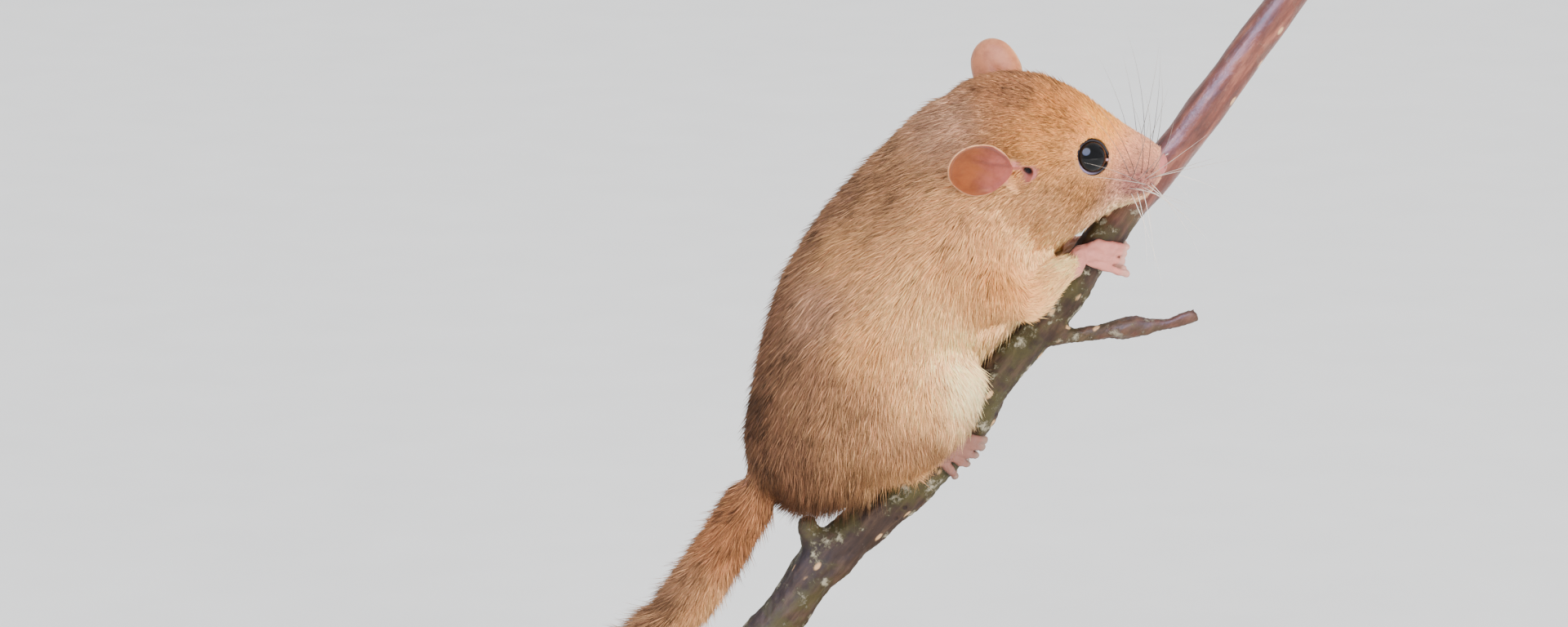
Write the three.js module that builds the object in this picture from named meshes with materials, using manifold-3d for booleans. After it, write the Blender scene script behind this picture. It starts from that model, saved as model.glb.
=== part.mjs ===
// A hazel dormouse that climbs a hazel stem, life size, on a small display stand.
// Units are millimetres. +X is the way the animal faces, +Z is up, and a viewer who looks along +Y
// sees its right side. The origin is the middle of the base's underside.
import * as THREE from "three";
import { mergeVertices } from "three/addons/utils/BufferGeometryUtils.js";
import Module from "manifold-3d";

const wasm = await Module();
wasm.setup();

// Driving sizes
const GAP = 0.3; // between neighbouring solids
const EYE_RADIUS = 2.2;
const STAND_LENGTH = 66;
const STAND_WIDTH = 46;
const STAND_HEIGHT = 5;
const ROD_RADIUS = 1.6;

// The outline of head and body from the tip of the nose to the rump, as a row for each section:
// its back edge's x and z, its belly edge's x and z, and its half width.
const TRUNK_SECTIONS = [
  [36.3, 85.9, 36.3, 84.9, 0.9],
  [35.9, 86.8, 35.7, 84.0, 1.6],
  [34.8, 88.2, 34.5, 82.2, 2.4],
  [33.1, 89.4, 33.0, 80.8, 3.1],
  [31.0, 90.7, 31.4, 80.0, 4.0],
  [29.0, 92.0, 29.8, 79.3, 5.2],
  [26.9, 93.4, 28.1, 78.5, 6.5],
  [24.2, 95.0, 26.4, 77.3, 7.8],
  [20.8, 96.7, 24.6, 76.0, 8.9],
  [17.2, 97.3, 22.9, 74.7, 9.6],
  [13.3, 97.0, 21.9, 73.6, 9.9],
  [9.2, 95.2, 21.6, 71.9, 10.2],
  [5.0, 92.4, 21.2, 69.9, 10.9],
  [0.5, 88.1, 19.8, 67.0, 11.8],
  [-4.2, 83.2, 17.2, 64.0, 12.5],
  [-8.3, 78.2, 14.1, 60.9, 13.0],
  [-11.9, 72.4, 11.5, 57.6, 13.3],
  [-14.2, 66.4, 9.2, 54.2, 13.4],
  [-15.8, 60.1, 6.9, 50.8, 13.1],
  [-17.1, 53.8, 3.9, 47.4, 12.2],
  [-17.8, 48.4, 0.4, 44.6, 10.6],
  [-17.9, 44.4, -3.8, 42.3, 8.4],
  [-16.9, 41.6, -8.4, 41.0, 5.4],
];
// The section numbers at which the trunk is parted, with a gap there.
const NECK_FRONT = 11.0;
const NECK_BACK = 12.8;
const CHEST_BACK = 15.6;
const BELLY_BACK = 18.4;

// The head is modelled level and straight, and then turned about the nape: its crown and its nose
// both come towards the viewer. The turn fades out along the neck.
const HEAD_PIVOT = new THREE.Vector3(14, 0, 85.5);
const HEAD_ROLL = THREE.MathUtils.degToRad(12);
const HEAD_YAW = THREE.MathUtils.degToRad(-6);
const TURN_ENDS_AT = 14.8;
const TURN_IS_FULL_AT = 10;

// Swellings and hollows of the right side, each mirrored on the left: centre, reach and push.
const HEAD_SWELLINGS = [
  { at: [32.6, -2.9, 84.2], reach: 2.1, push: 0.55 }, // whisker pad
  { at: [23.2, -7.6, 82.6], reach: 4.6, push: 0.8 }, // cheek
  { at: [25.6, -4.4, 92.4], reach: 2.6, push: 0.35 }, // brow
  { at: [30.2, -4.3, 88.0], reach: 1.9, push: -0.5 }, // hollow in front of the eye
  { at: [33.4, -1.6, 81.4], reach: 1.3, push: 0.3 }, // lip
  { at: [29.6, -2.8, 81.0], reach: 1.6, push: -0.35 }, // behind the corner of the mouth
];
const BODY_SWELLINGS = [
  { at: [9.5, -10.0, 77.5], reach: 6.5, push: 0.9 }, // shoulder blade
  { at: [-4.0, -12.5, 64.0], reach: 9.0, push: 0.7 }, // flank
  { at: [-9.5, -10.5, 52.5], reach: 7.5, push: 0.9 }, // hip
];

const EYE_CENTRE = [26.5, -4.9, 88.35];
const EYE_FACING = new THREE.Vector3(0.5, -0.8, 0.33).normalize();
const LID_OFFSET = 0.8; // from the eye's centre to the plane of its lids
const LID_RADIUS = 2.35;
const LID_THICKNESS = 0.36;

const NOSE_PAD = { at: [35.5, 0, 85.6], size: [0.85, 1.25, 0.95] };
const NOSTRIL = { at: [36.2, -0.62, 85.6], size: [0.6, 0.28, 0.26] };
const PHILTRUM = { at: [36.1, 0, 84.2], size: [0.7, 0.16, 1.0] };
// The line between the lips on the left side: section numbers, and angles up from under the chin.
const MOUTH_LINE = [
  [1.1, 0.0],
  [1.7, 0.42],
  [2.5, 0.66],
  [3.4, 0.8],
  [4.3, 0.95],
];
const MOUTH_RADIUS = 0.2;
const EAR_PIT = { at: [17.8, -9.4, 87.0], size: [1.5, 1.9, 1.2] };

// Each ear's flap: its root and tip, and the way its hollow side faces.
const EAR_LENGTH_BELOW_ROOT = 0.8;
const EAR_HALF_WIDTH = 4.1;
const EAR_THICKNESS = 0.62;
const EAR_RIGHT = { root: [17.4, -9.3, 87.5], tip: [9.8, -13.2, 90.5], facing: [0.3, -0.93, -0.1] };
const EAR_LEFT = { root: [15.9, 8.8, 88.7], tip: [12.0, 13.2, 96.4], facing: [0.22, 0.97, -0.1] };

// The stem, from its lower cut end to its upper one: x, y, z and radius.
const STEM = [
  [-19.3, 1.0, 16.1, 3.1],
  [-16.1, 1.0, 20.9, 3.0],
  [-12.0, 1.0, 26.7, 3.0],
  [-7.8, 1.0, 32.6, 3.1],
  [-2.1, 1.0, 37.9, 2.9],
  [4.2, 1.0, 43.2, 2.75],
  [9.9, 1.2, 49.6, 2.65],
  [13.8, 1.4, 56.0, 2.6],
  [18.2, 1.8, 61.9, 2.7],
  [24.0, 2.3, 68.8, 2.6],
  [29.7, 3.0, 77.3, 2.55],
  [37.5, 4.2, 86.4, 2.5],
  [43.8, 5.2, 94.9, 2.45],
  [54.0, 6.6, 108.8, 2.4],
];
const STUB = [
  [-8.0, 1.0, 32.4, 1.9],
  [-9.2, 0.6, 36.2, 1.5],
  [-9.7, 0.4, 38.9, 1.35],
];
const TWIG = [
  [18.4, 1.4, 61.6, 1.5],
  [21.9, 0.8, 62.6, 1.15],
  [26.6, 0.4, 62.9, 0.95],
  [31.2, 0.1, 63.8, 1.2],
  [35.9, -0.3, 64.3, 0.95],
  [40.1, -0.5, 65.7, 0.9],
];

// Limbs of the right side: x, y, z, radius in the side view and radius towards the viewer.
const UPPER_ARM = [
  [6.6, -7.2, 78.0, 3.2, 2.4],
  [10.0, -7.8, 74.4, 5.2, 3.8],
  [14.0, -8.3, 69.8, 4.4, 3.6],
  [16.6, -8.4, 67.1, 2.6, 2.6],
];
const FOREARM = [
  [15.4, -8.2, 67.3, 2.5, 2.5],
  [18.4, -7.4, 69.2, 3.0, 2.9],
  [21.9, -5.2, 71.8, 2.3, 2.2],
  [24.6, -3.4, 73.4, 1.75, 1.5],
];
const THIGH = [
  [-8.4, -6.8, 50.6, 5.0, 3.2],
  [-3.2, -8.0, 52.8, 7.9, 5.6],
  [3.0, -8.6, 55.8, 8.5, 6.0],
  [8.6, -8.6, 59.0, 6.6, 5.0],
  [12.6, -8.2, 61.4, 3.6, 3.2],
];
const SHANK = [
  [9.2, -8.4, 57.8, 3.6, 3.2],
  [6.7, -7.8, 53.4, 4.0, 3.2],
  [3.9, -6.6, 49.3, 3.0, 2.4],
  [2.0, -5.4, 46.4, 2.2, 1.9],
];
// Paws, laid round the stem: distance up the stem from its grip, angle round it from the side that
// faces the viewer, distance from its axis, and for the palm and sole the two radii.
const HAND_GRIP = 0.726; // shares of the stem's length
const FOOT_GRIP = 0.442;
const PALM = [
  [-1.4, -52, 4.4, 1.5, 1.3],
  [0.1, -24, 4.25, 2.0, 1.3],
  [1.5, 6, 3.95, 2.0, 1.1],
];
const FINGERS = [
  [[2.2, -10, 3.55], [3.0, 16, 3.5], [3.6, 40, 3.45], [3.8, 62, 3.4]],
  [[1.7, -4, 3.55], [2.3, 22, 3.55], [2.8, 44, 3.6], [2.9, 66, 3.6]],
  [[0.8, -2, 3.55], [1.3, 24, 3.6], [1.7, 48, 3.8], [1.9, 68, 4.0]],
  [[-0.2, -6, 3.6], [0.3, 24, 3.8], [0.8, 50, 4.5], [1.3, 68, 5.3]],
];
const SOLE = [
  [-5.4, -34, 4.5, 1.5, 1.3],
  [-1.8, -12, 4.4, 2.0, 1.35],
  [2.6, 4, 4.1, 2.3, 1.15],
];
const TOES = [
  [[1.8, -8, 3.8], [3.2, 12, 3.75], [3.9, 32, 3.65], [4.1, 50, 3.55]],
  [[1.4, 2, 3.8], [2.5, 24, 3.75], [3.0, 46, 3.65], [3.1, 64, 3.55]],
  [[0.8, 6, 3.8], [1.4, 28, 3.75], [1.7, 50, 3.65], [1.8, 67, 3.55]],
  [[0.0, 6, 3.8], [0.2, 30, 3.75], [0.3, 50, 3.65], [0.3, 66, 3.55]],
  [[-1.2, 2, 3.8], [-1.3, 24, 3.75], [-1.5, 44, 3.65], [-1.7, 62, 3.55]],
];
const DIGIT_RADIUS = 0.66;
const CLAW_LENGTH = 0.9;
const CLAW_RADIUS = 0.32;

// The tail: x, y, z and radius out to the tips of its coat.
const TAIL = [
  [-13.2, 0.0, 45.6, 3.1],
  [-15.6, 0.0, 42.4, 2.95],
  [-18.1, 0.1, 38.8, 2.9],
  [-20.8, 0.3, 34.3, 3.0],
  [-24.3, 0.5, 28.9, 3.15],
  [-28.5, 0.8, 23.4, 3.25],
  [-33.6, 1.1, 18.2, 3.25],
  [-39.2, 1.4, 13.8, 3.2],
  [-45.2, 1.6, 10.5, 3.1],
  [-51.3, 1.7, 8.4, 2.8],
  [-57.3, 1.7, 7.7, 2.3],
  [-62.4, 1.6, 8.2, 1.5],
];
const TAIL_CUTS = [0.4, 0.7];

// Colours and finishes
const COAT = { color: 0xb9794a, roughness: 0.9 };
const materials = {
  back: new THREE.MeshStandardMaterial(COAT),
  face: new THREE.MeshStandardMaterial({ color: 0xcb8547, roughness: 0.88 }),
  belly: new THREE.MeshStandardMaterial({ color: 0xdcb98c, roughness: 0.92 }),
  tail: new THREE.MeshStandardMaterial({ color: 0xac6a3c, roughness: 0.92 }),
  skin: new THREE.MeshStandardMaterial({ color: 0xdd9c90, roughness: 0.6 }),
  ear: new THREE.MeshStandardMaterial({ color: 0xd08b5c, roughness: 0.65 }),
  eye: new THREE.MeshStandardMaterial({ color: 0x07070b, roughness: 0.05 }),
  bark: new THREE.MeshStandardMaterial({ color: 0x72493a, roughness: 0.7 }),
  base: new THREE.MeshStandardMaterial({ color: 0xb08a5e, roughness: 0.5 }),
  rod: new THREE.MeshStandardMaterial({ color: 0xb8babd, roughness: 0.3, metalness: 1 }),
};

// A closed geometry as a solid. One that is inside out has its triangles turned round.
function solidOf(geometry) {
  const bare = geometry.clone();
  bare.deleteAttribute("normal");
  bare.deleteAttribute("uv");
  const merged = mergeVertices(bare, 1e-4);
  const corners = merged.index.array;
  const kept = [];
  for (let i = 0; i < corners.length; i += 3) {
    const [a, b, c] = [corners[i], corners[i + 1], corners[i + 2]];
    if (a !== b && b !== c && c !== a) kept.push(a, b, c);
  }
  const build = (order) =>
    new wasm.Manifold(
      new wasm.Mesh({
        numProp: 3,
        vertProperties: new Float32Array(merged.getAttribute("position").array),
        triVerts: new Uint32Array(order),
      }),
    );
  const made = build(kept);
  if (made.volume() > 0) return made;
  return build(kept.reverse());
}

// The largest closed surface of a solid, with hollows filled and loose scraps dropped.
function largest(solid) {
  const bodies = solid.decompose();
  return bodies.reduce((best, body) => (body.volume() > best.volume() ? body : best));
}

function geometryOf(solid) {
  const mesh = solid.getMesh();
  const geometry = new THREE.BufferGeometry();
  geometry.setAttribute("position", new THREE.BufferAttribute(mesh.vertProperties, 3));
  geometry.setIndex(new THREE.BufferAttribute(mesh.triVerts, 1));
  geometry.computeVertexNormals();
  return geometry;
}

// A smooth curve through rows of three or more numbers, as a function of 0 to 1.
function curveThrough(rows, columns) {
  const points = rows.map((row) => new THREE.Vector3(...columns.map((column) => row[column] ?? 0)));
  const curve = new THREE.CatmullRomCurve3(points, false, "catmullrom", 0.5);
  return {
    at: (along) => curve.getPoint(THREE.MathUtils.clamp(along, 0, 1)),
    way: (along) => curve.getTangent(THREE.MathUtils.clamp(along, 0, 1)),
  };
}

// Rounds a swept body's two ends over the given shares of its length.
function capped(along, startShare, endShare) {
  const start = Math.min(along / startShare, 1);
  const end = Math.min((1 - along) / endShare, 1);
  return Math.sqrt(1 - (1 - start) ** 2) * Math.sqrt(1 - (1 - end) ** 2);
}

// A sphere's vertices moved onto a swept body. place gives the point at a share of the body's length
// and an angle round it.
function swept(place, rings, sides) {
  const geometry = new THREE.SphereGeometry(1, sides, rings);
  const position = geometry.getAttribute("position");
  for (let i = 0; i < position.count; i += 1) {
    const height = THREE.MathUtils.clamp(position.getY(i), -1, 1);
    const along = (Math.acos(height) / Math.PI + (1 - height) / 2) / 2;
    const around = Math.atan2(position.getZ(i), position.getX(i));
    position.setXYZ(i, ...place(along, around).toArray());
  }
  return solidOf(geometry);
}

// The two directions across a line, the second of them as near to +Y as it can be.
function frameAcross(way) {
  const depth = new THREE.Vector3(0, 1, 0);
  const side = depth.addScaledVector(way, -depth.dot(way)).normalize();
  return [new THREE.Vector3().crossVectors(side, way).normalize(), side];
}

// A limb or other round piece along rows of x, y, z, radius in the side view and radius in depth.
function limb(rows, { rings = 10, sides = 12, start = 0.3, end = 0.3, grow = 0 } = {}) {
  const line = curveThrough(rows, [0, 1, 2]);
  const girth = curveThrough(rows, rows[0].length > 4 ? [3, 4] : [3, 3]);
  const place = (along, around) => {
    const [up, side] = frameAcross(line.way(along));
    const radii = girth.at(along);
    const round = capped(along, start, end);
    return line
      .at(along)
      .addScaledVector(up, (radii.x + grow) * round * Math.cos(around))
      .addScaledVector(side, (radii.y + grow) * round * Math.sin(around));
  };
  return swept(place, rings, sides);
}

// A piece of wood along rows of x, y, z and radius, with flat cut ends and a slightly uneven bark.
function wood(rows, { steps, sides, grow = 0, knots = [] }) {
  const line = curveThrough(rows, [0, 1, 2]);
  const girth = curveThrough(rows, [3]);
  const geometry = new THREE.CylinderGeometry(1, 1, 1, sides, steps);
  const position = geometry.getAttribute("position");
  for (let i = 0; i < position.count; i += 1) {
    const along = position.getY(i) + 0.5;
    const [up, side] = frameAcross(line.way(along));
    const knot = knots.reduce((sum, k) => sum + k.push * Math.exp(-(((along - k.along) / k.reach) ** 2)), 0);
    const radius = girth.at(along).x + knot + grow;
    const point = line
      .at(along)
      .addScaledVector(up, position.getX(i) * radius)
      .addScaledVector(side, position.getZ(i) * radius);
    position.setXYZ(i, point.x, point.y, point.z);
  }
  return solidOf(geometry);
}

function ellipsoid({ at, size }, sides = 16, rings = 10) {
  return solidOf(new THREE.SphereGeometry(1, sides, rings).scale(...size).translate(...at));
}

function mirrored([x, y, z, ...rest], middle = 0) {
  return [x, 2 * middle - y, z, ...rest];
}

// Turns a point of the straight head to its place, by the given share of the full turn.
function turned(point, share = 1) {
  const turn = new THREE.Matrix4()
    .makeRotationZ(HEAD_YAW * share)
    .multiply(new THREE.Matrix4().makeRotationX(HEAD_ROLL * share));
  return point.clone().sub(HEAD_PIVOT).applyMatrix4(turn).add(HEAD_PIVOT);
}

function turnedSolid(solid) {
  return solid.warp((vertex) => {
    const placed = turned(new THREE.Vector3(...vertex));
    [vertex[0], vertex[1], vertex[2]] = placed.toArray();
  });
}

const TRUNK_BACK = curveThrough(TRUNK_SECTIONS, [0, 1]);
const TRUNK_FRONT = curveThrough(TRUNK_SECTIONS, [2, 3]);
const TRUNK_WIDTH = curveThrough(TRUNK_SECTIONS, [4]);
const LAST_SECTION = TRUNK_SECTIONS.length - 1;
const SWELLINGS = [...HEAD_SWELLINGS, ...BODY_SWELLINGS]
  .flatMap((form) => [form, { ...form, at: mirrored(form.at) }])
  .map(({ at, ...form }) => ({ at: new THREE.Vector3(...at), ...form }));

// A point of the surface of head and body, or of that surface moved out by grow.
function trunkPoint(along, around, grow = 0) {
  const [top, low] = [TRUNK_BACK.at(along), TRUNK_FRONT.at(along)];
  const round = capped(along, 0.05, 0.12);
  const centre = new THREE.Vector3((top.x + low.x) / 2, 0, (top.y + low.y) / 2);
  const half = new THREE.Vector3((top.x - low.x) / 2, 0, (top.y - low.y) / 2);
  const height = Math.max(half.length() + grow, 0.05) * round;
  const width = Math.max(TRUNK_WIDTH.at(along).x + grow, 0.05) * round;
  const out = half.setLength(height * Math.cos(around));
  out.y = width * Math.sin(around);
  const point = centre.clone().add(out);
  const way = out.clone().normalize();
  for (const { at, reach, push } of SWELLINGS) {
    point.addScaledVector(way, push * Math.exp(-((point.distanceTo(at) / reach) ** 2)));
  }
  const share = 1 - THREE.MathUtils.smoothstep(along * LAST_SECTION, TURN_IS_FULL_AT, TURN_ENDS_AT);
  return turned(point, share);
}

// Head and body as one piece. grow moves its whole surface out.
function trunk(grow = 0) {
  return swept((along, around) => trunkPoint(along, around, grow), 54, 28);
}

// The plane of a section of the trunk: its normal points to the nose.
function sectionPlane(section) {
  const along = section / LAST_SECTION;
  const top = TRUNK_BACK.at(along);
  const low = TRUNK_FRONT.at(along);
  const normal = new THREE.Vector3(top.y - low.y, 0, low.x - top.x).normalize();
  return { normal, offset: normal.x * top.x + normal.z * top.y };
}

// What lies in front of one section's plane and behind another's, half a gap clear of both.
function between(solid, behindSection, frontSection) {
  let piece = solid;
  if (behindSection !== null) {
    const { normal, offset } = sectionPlane(behindSection);
    piece = piece.trimByPlane(normal.clone().negate().toArray(), GAP / 2 - offset);
  }
  if (frontSection !== null) {
    const { normal, offset } = sectionPlane(frontSection);
    piece = piece.trimByPlane(normal.toArray(), offset + GAP / 2);
  }
  return largest(piece);
}

function eyeSolid(y, grow = 0, sides = 16) {
  const centre = [EYE_CENTRE[0], y, EYE_CENTRE[2]];
  return turnedSolid(
    ellipsoid({ at: centre, size: Array(3).fill(EYE_RADIUS + grow) }, sides, Math.round(sides * 0.66)),
  );
}

// The raised rim of both lids, round the eye.
function lidRing(hand) {
  const facing = EYE_FACING.clone();
  facing.y *= hand;
  const centre = new THREE.Vector3(EYE_CENTRE[0], EYE_CENTRE[1] * hand, EYE_CENTRE[2]);
  centre.addScaledVector(facing, LID_OFFSET);
  const ring = new THREE.TorusGeometry(LID_RADIUS, LID_THICKNESS, 8, 22);
  ring.applyQuaternion(new THREE.Quaternion().setFromUnitVectors(new THREE.Vector3(0, 0, 1), facing));
  ring.translate(...centre.toArray());
  return turnedSolid(solidOf(ring));
}

// A groove along the line between the lips, from one corner of the mouth to the other.
function mouthGroove() {
  const onSkin = ([section, angle]) => trunkPoint(section / LAST_SECTION, Math.PI - angle).toArray();
  const left = MOUTH_LINE.map(onSkin);
  const right = MOUTH_LINE.slice(1).map(([section, angle]) => onSkin([section, -angle]));
  const rows = [...right.reverse(), ...left].map((point) => [...point, MOUTH_RADIUS]);
  return limb(rows, { rings: 18, sides: 6, start: 0.15, end: 0.15 });
}

function headSolid(body) {
  const hands = [1, -1];
  let head = between(body, null, NECK_FRONT).add(turnedSolid(ellipsoid(NOSE_PAD, 14, 10)));
  for (const hand of hands) {
    const side = (form) => ({ ...form, at: [form.at[0], form.at[1] * hand, form.at[2]] });
    head = head
      .add(lidRing(hand))
      .subtract(eyeSolid(EYE_CENTRE[1] * hand, GAP, 16))
      .subtract(turnedSolid(ellipsoid(side(NOSTRIL), 8, 6)))
      .subtract(turnedSolid(ellipsoid(side(EAR_PIT), 12, 8)));
  }
  return largest(head.subtract(turnedSolid(ellipsoid(PHILTRUM, 8, 8))).subtract(mouthGroove()));
}

// An ear's flap, a thin scoop that narrows to its root and curls up at its sides.
function earFlap({ root, tip, facing }) {
  const line = new THREE.Vector3(...tip).sub(new THREE.Vector3(...root));
  const length = line.length();
  const lengthways = line.clone().normalize();
  const hollow = new THREE.Vector3(...facing);
  hollow.addScaledVector(lengthways, -hollow.dot(lengthways)).normalize();
  const across = new THREE.Vector3().crossVectors(lengthways, hollow);
  const geometry = new THREE.SphereGeometry(1, 22, 8);
  const position = geometry.getAttribute("position");
  for (let i = 0; i < position.count; i += 1) {
    const [x, y, z] = [position.getX(i), position.getY(i), position.getZ(i)];
    const reach = (x + 1) / 2;
    const narrow = 0.5 + 0.5 * THREE.MathUtils.smoothstep(reach, 0, 0.55);
    const curl = z * z * (2.9 - 1.3 * reach) + 0.5 * reach * reach;
    const thick = (EAR_THICKNESS / 2) * Math.sign(y) * Math.abs(y) ** 0.45;
    const point = new THREE.Vector3(...root)
      .addScaledVector(lengthways, reach * (length + EAR_LENGTH_BELOW_ROOT) - EAR_LENGTH_BELOW_ROOT)
      .addScaledVector(across, z * EAR_HALF_WIDTH * narrow)
      .addScaledVector(hollow, curl + thick - 0.5);
    position.setXYZ(i, point.x, point.y, point.z);
  }
  return turnedSolid(solidOf(geometry));
}

// A finger or toe with its claw, along four points.
function digit(points) {
  const rows = points.map((point, i) => [...point, DIGIT_RADIUS * (1.05 - 0.08 * i)]);
  const tip = new THREE.Vector3(...points[3]);
  const way = tip.clone().sub(new THREE.Vector3(...points[2])).normalize();
  const claw = new THREE.ConeGeometry(CLAW_RADIUS, CLAW_LENGTH + DIGIT_RADIUS, 6);
  claw.applyQuaternion(new THREE.Quaternion().setFromUnitVectors(new THREE.Vector3(0, 1, 0), way));
  claw.translate(...tip.addScaledVector(way, CLAW_LENGTH / 3).toArray());
  return limb(rows, { rings: 6, sides: 8, start: 0.2, end: 0.2 }).add(solidOf(claw));
}

// A point beside the stem: a distance up it from a grip, an angle round it and a distance from its
// axis. The hand is 1 on the viewer's side of the stem and -1 on its far side.
function besideStem(grip, hand, [up, angle, distance, ...radii]) {
  const line = curveThrough(STEM, [0, 1, 2]);
  const way = line.way(grip);
  const [across, depth] = frameAcross(way);
  const turn = THREE.MathUtils.degToRad(angle);
  const point = line
    .at(grip)
    .addScaledVector(way, up)
    .addScaledVector(across, distance * Math.sin(turn))
    .addScaledVector(depth, -hand * distance * Math.cos(turn));
  return [...point.toArray(), ...radii];
}

function paw(grip, hand, palmRows, digits, stem) {
  const rows = palmRows.map((row) => besideStem(grip, hand, row));
  const palm = limb(rows, { rings: 8, sides: 12, start: 0.3, end: 0.4 });
  return digits
    .map((points) => digit(points.map((point) => besideStem(grip, hand, point))))
    .reduce((joined, each) => joined.add(each), palm)
    .subtract(stem);
}

// One side's legs. The left ones are mirrored in the body's middle, and near a paw in the stem's.
function legs(side, body, stem) {
  const hand = side === "right" ? 1 : -1;
  const rowsFor = (rows, middle) =>
    rows.map((row, i) => (hand === 1 ? row : mirrored(row, (middle * i) / (rows.length - 1))));
  const thick = { rings: 14, sides: 18, start: 0.35, end: 0.35 };
  const slim = { rings: 12, sides: 14 };
  const pair = (rows, shape) => [limb(rows, shape), limb(rows, { ...shape, grow: GAP })];
  const [thigh, thighRoom] = pair(rowsFor(THIGH, 0), thick);
  const [shank, shankRoom] = pair(rowsFor(SHANK, STEM[5][1]), slim);
  const [upperArm, upperArmRoom] = pair(rowsFor(UPPER_ARM, 0), slim);
  const [forearm, forearmRoom] = pair(rowsFor(FOREARM, STEM[9][1]), slim);
  const foot = paw(FOOT_GRIP, hand, SOLE, TOES, stem);
  const forefoot = paw(HAND_GRIP, hand, PALM, FINGERS, stem);
  return {
    [`thigh_${side}`]: [thigh.subtract(body).subtract(stem), materials.back],
    [`shank_${side}`]: [shank.subtract(thighRoom).subtract(body).subtract(stem), materials.belly],
    [`hind_foot_${side}`]: [foot.subtract(shankRoom).subtract(thighRoom).subtract(body), materials.skin],
    [`upper_arm_${side}`]: [upperArm.subtract(body).subtract(stem), materials.back],
    [`forearm_${side}`]: [forearm.subtract(upperArmRoom).subtract(body).subtract(stem), materials.belly],
    [`forepaw_${side}`]: [forefoot.subtract(forearmRoom).subtract(body), materials.skin],
  };
}

function tailPieces(body) {
  const whole = limb(TAIL, { rings: 40, sides: 14, start: 0.06, end: 0.08 }).subtract(body);
  const line = curveThrough(TAIL, [0, 1, 2]);
  const cut = (along) => {
    const normal = line.way(along).normalize();
    return { normal, offset: normal.dot(line.at(along)) };
  };
  const [first, second] = TAIL_CUTS.map(cut);
  const before = (solid, { normal, offset }) =>
    solid.trimByPlane(normal.clone().negate().toArray(), GAP / 2 - offset);
  const after = (solid, { normal, offset }) => solid.trimByPlane(normal.toArray(), offset + GAP / 2);
  return {
    tail_base: [before(whole, first), materials.tail],
    tail_middle: [before(after(whole, first), second), materials.tail],
    tail_tip: [after(whole, second), materials.tail],
  };
}

const STEM_SHAPE = {
  steps: 28,
  sides: 12,
  knots: [
    { along: 0.245, reach: 0.025, push: 0.5 },
    { along: 0.615, reach: 0.02, push: 0.45 },
    { along: 0.9, reach: 0.015, push: 0.25 },
  ],
};

function perch(body) {
  const stem = wood(STEM, STEM_SHAPE);
  const stub = wood(STUB, { steps: 3, sides: 10 });
  const stemRoom = wood(STEM, { ...STEM_SHAPE, grow: GAP });
  const twig = wood(TWIG, { steps: 14, sides: 10, knots: [{ along: 0.6, reach: 0.05, push: 0.25 }] });
  return {
    perch_branch: [stem.add(stub), materials.bark],
    perch_twig: [twig.subtract(stemRoom).subtract(body), materials.bark],
  };
}

function stand() {
  const bevel = 0.8;
  const outline = new THREE.Shape();
  outline.absellipse(0, 0, STAND_LENGTH / 2 - bevel, STAND_WIDTH / 2 - bevel, 0, Math.PI * 2);
  const base = new THREE.ExtrudeGeometry(outline, {
    depth: STAND_HEIGHT - 2 * bevel,
    bevelThickness: bevel,
    bevelSize: bevel,
    bevelSegments: 2,
    curveSegments: 20,
  });
  base.translate(0, 0, bevel);
  const [x, y, z] = STEM[2];
  const rodTop = z - STAND_HEIGHT - GAP;
  const profile = [
    [0, 0],
    [3.4, 0],
    [3.4, 0.7],
    [2.2, 1.3],
    [ROD_RADIUS, 2.6],
    [ROD_RADIUS, rodTop],
    [0, rodTop],
  ].map(([radius, height]) => new THREE.Vector2(radius, height));
  const rod = new THREE.LatheGeometry(profile, 18);
  rod.rotateX(Math.PI / 2);
  rod.translate(x, y, STAND_HEIGHT + GAP);
  return {
    stand_base: [solidOf(base), materials.base],
    stand_rod: [solidOf(rod).subtract(wood(STEM, { ...STEM_SHAPE, grow: GAP })), materials.rod],
  };
}

function build() {
  const stemRoom = wood(STEM, { ...STEM_SHAPE, grow: GAP });
  const stubRoom = wood(STUB, { steps: 3, sides: 10, grow: GAP });
  const body = trunk().subtract(stemRoom).subtract(stubRoom);
  const bodyRoom = trunk(GAP);
  const head = headSolid(body);
  const pieces = {
    head: [head, materials.face],
    neck: [between(body, NECK_FRONT, NECK_BACK), materials.back],
    chest: [between(body, NECK_BACK, CHEST_BACK), materials.back],
    belly: [between(body, CHEST_BACK, BELLY_BACK), materials.back],
    rump: [between(body, BELLY_BACK, null), materials.back],
    ear_right: [earFlap(EAR_RIGHT).subtract(bodyRoom), materials.ear],
    ear_left: [earFlap(EAR_LEFT).subtract(bodyRoom), materials.ear],
    eye_right: [eyeSolid(EYE_CENTRE[1]), materials.eye],
    eye_left: [eyeSolid(-EYE_CENTRE[1]), materials.eye],
    ...legs("right", bodyRoom, stemRoom),
    ...legs("left", bodyRoom, stemRoom),
    ...tailPieces(bodyRoom),
    ...perch(bodyRoom),
    ...stand(),
  };
  const group = new THREE.Group();
  for (const [name, [solid, material]] of Object.entries(pieces)) {
    const mesh = new THREE.Mesh(geometryOf(largest(solid)), material);
    mesh.name = name;
    group.add(mesh);
  }
  return group;
}

export default build();
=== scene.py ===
"""A hazel dormouse that climbs a cut hazel stem, with its skin, coat, eyes, whiskers, bark and stand.

Lengths in the tables below are in millimetres, in the frame of the part: +X is the way the animal faces,
+Z is up, and the viewer looks along +Y at its right side. MM turns them into metres.
"""

import math

import bmesh
import bpy
import numpy as np
from bpy.props import FloatProperty, FloatVectorProperty, IntProperty, PointerProperty
from mathutils import Matrix, Vector
from mathutils.bvhtree import BVHTree
from mathutils.kdtree import KDTree


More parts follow.
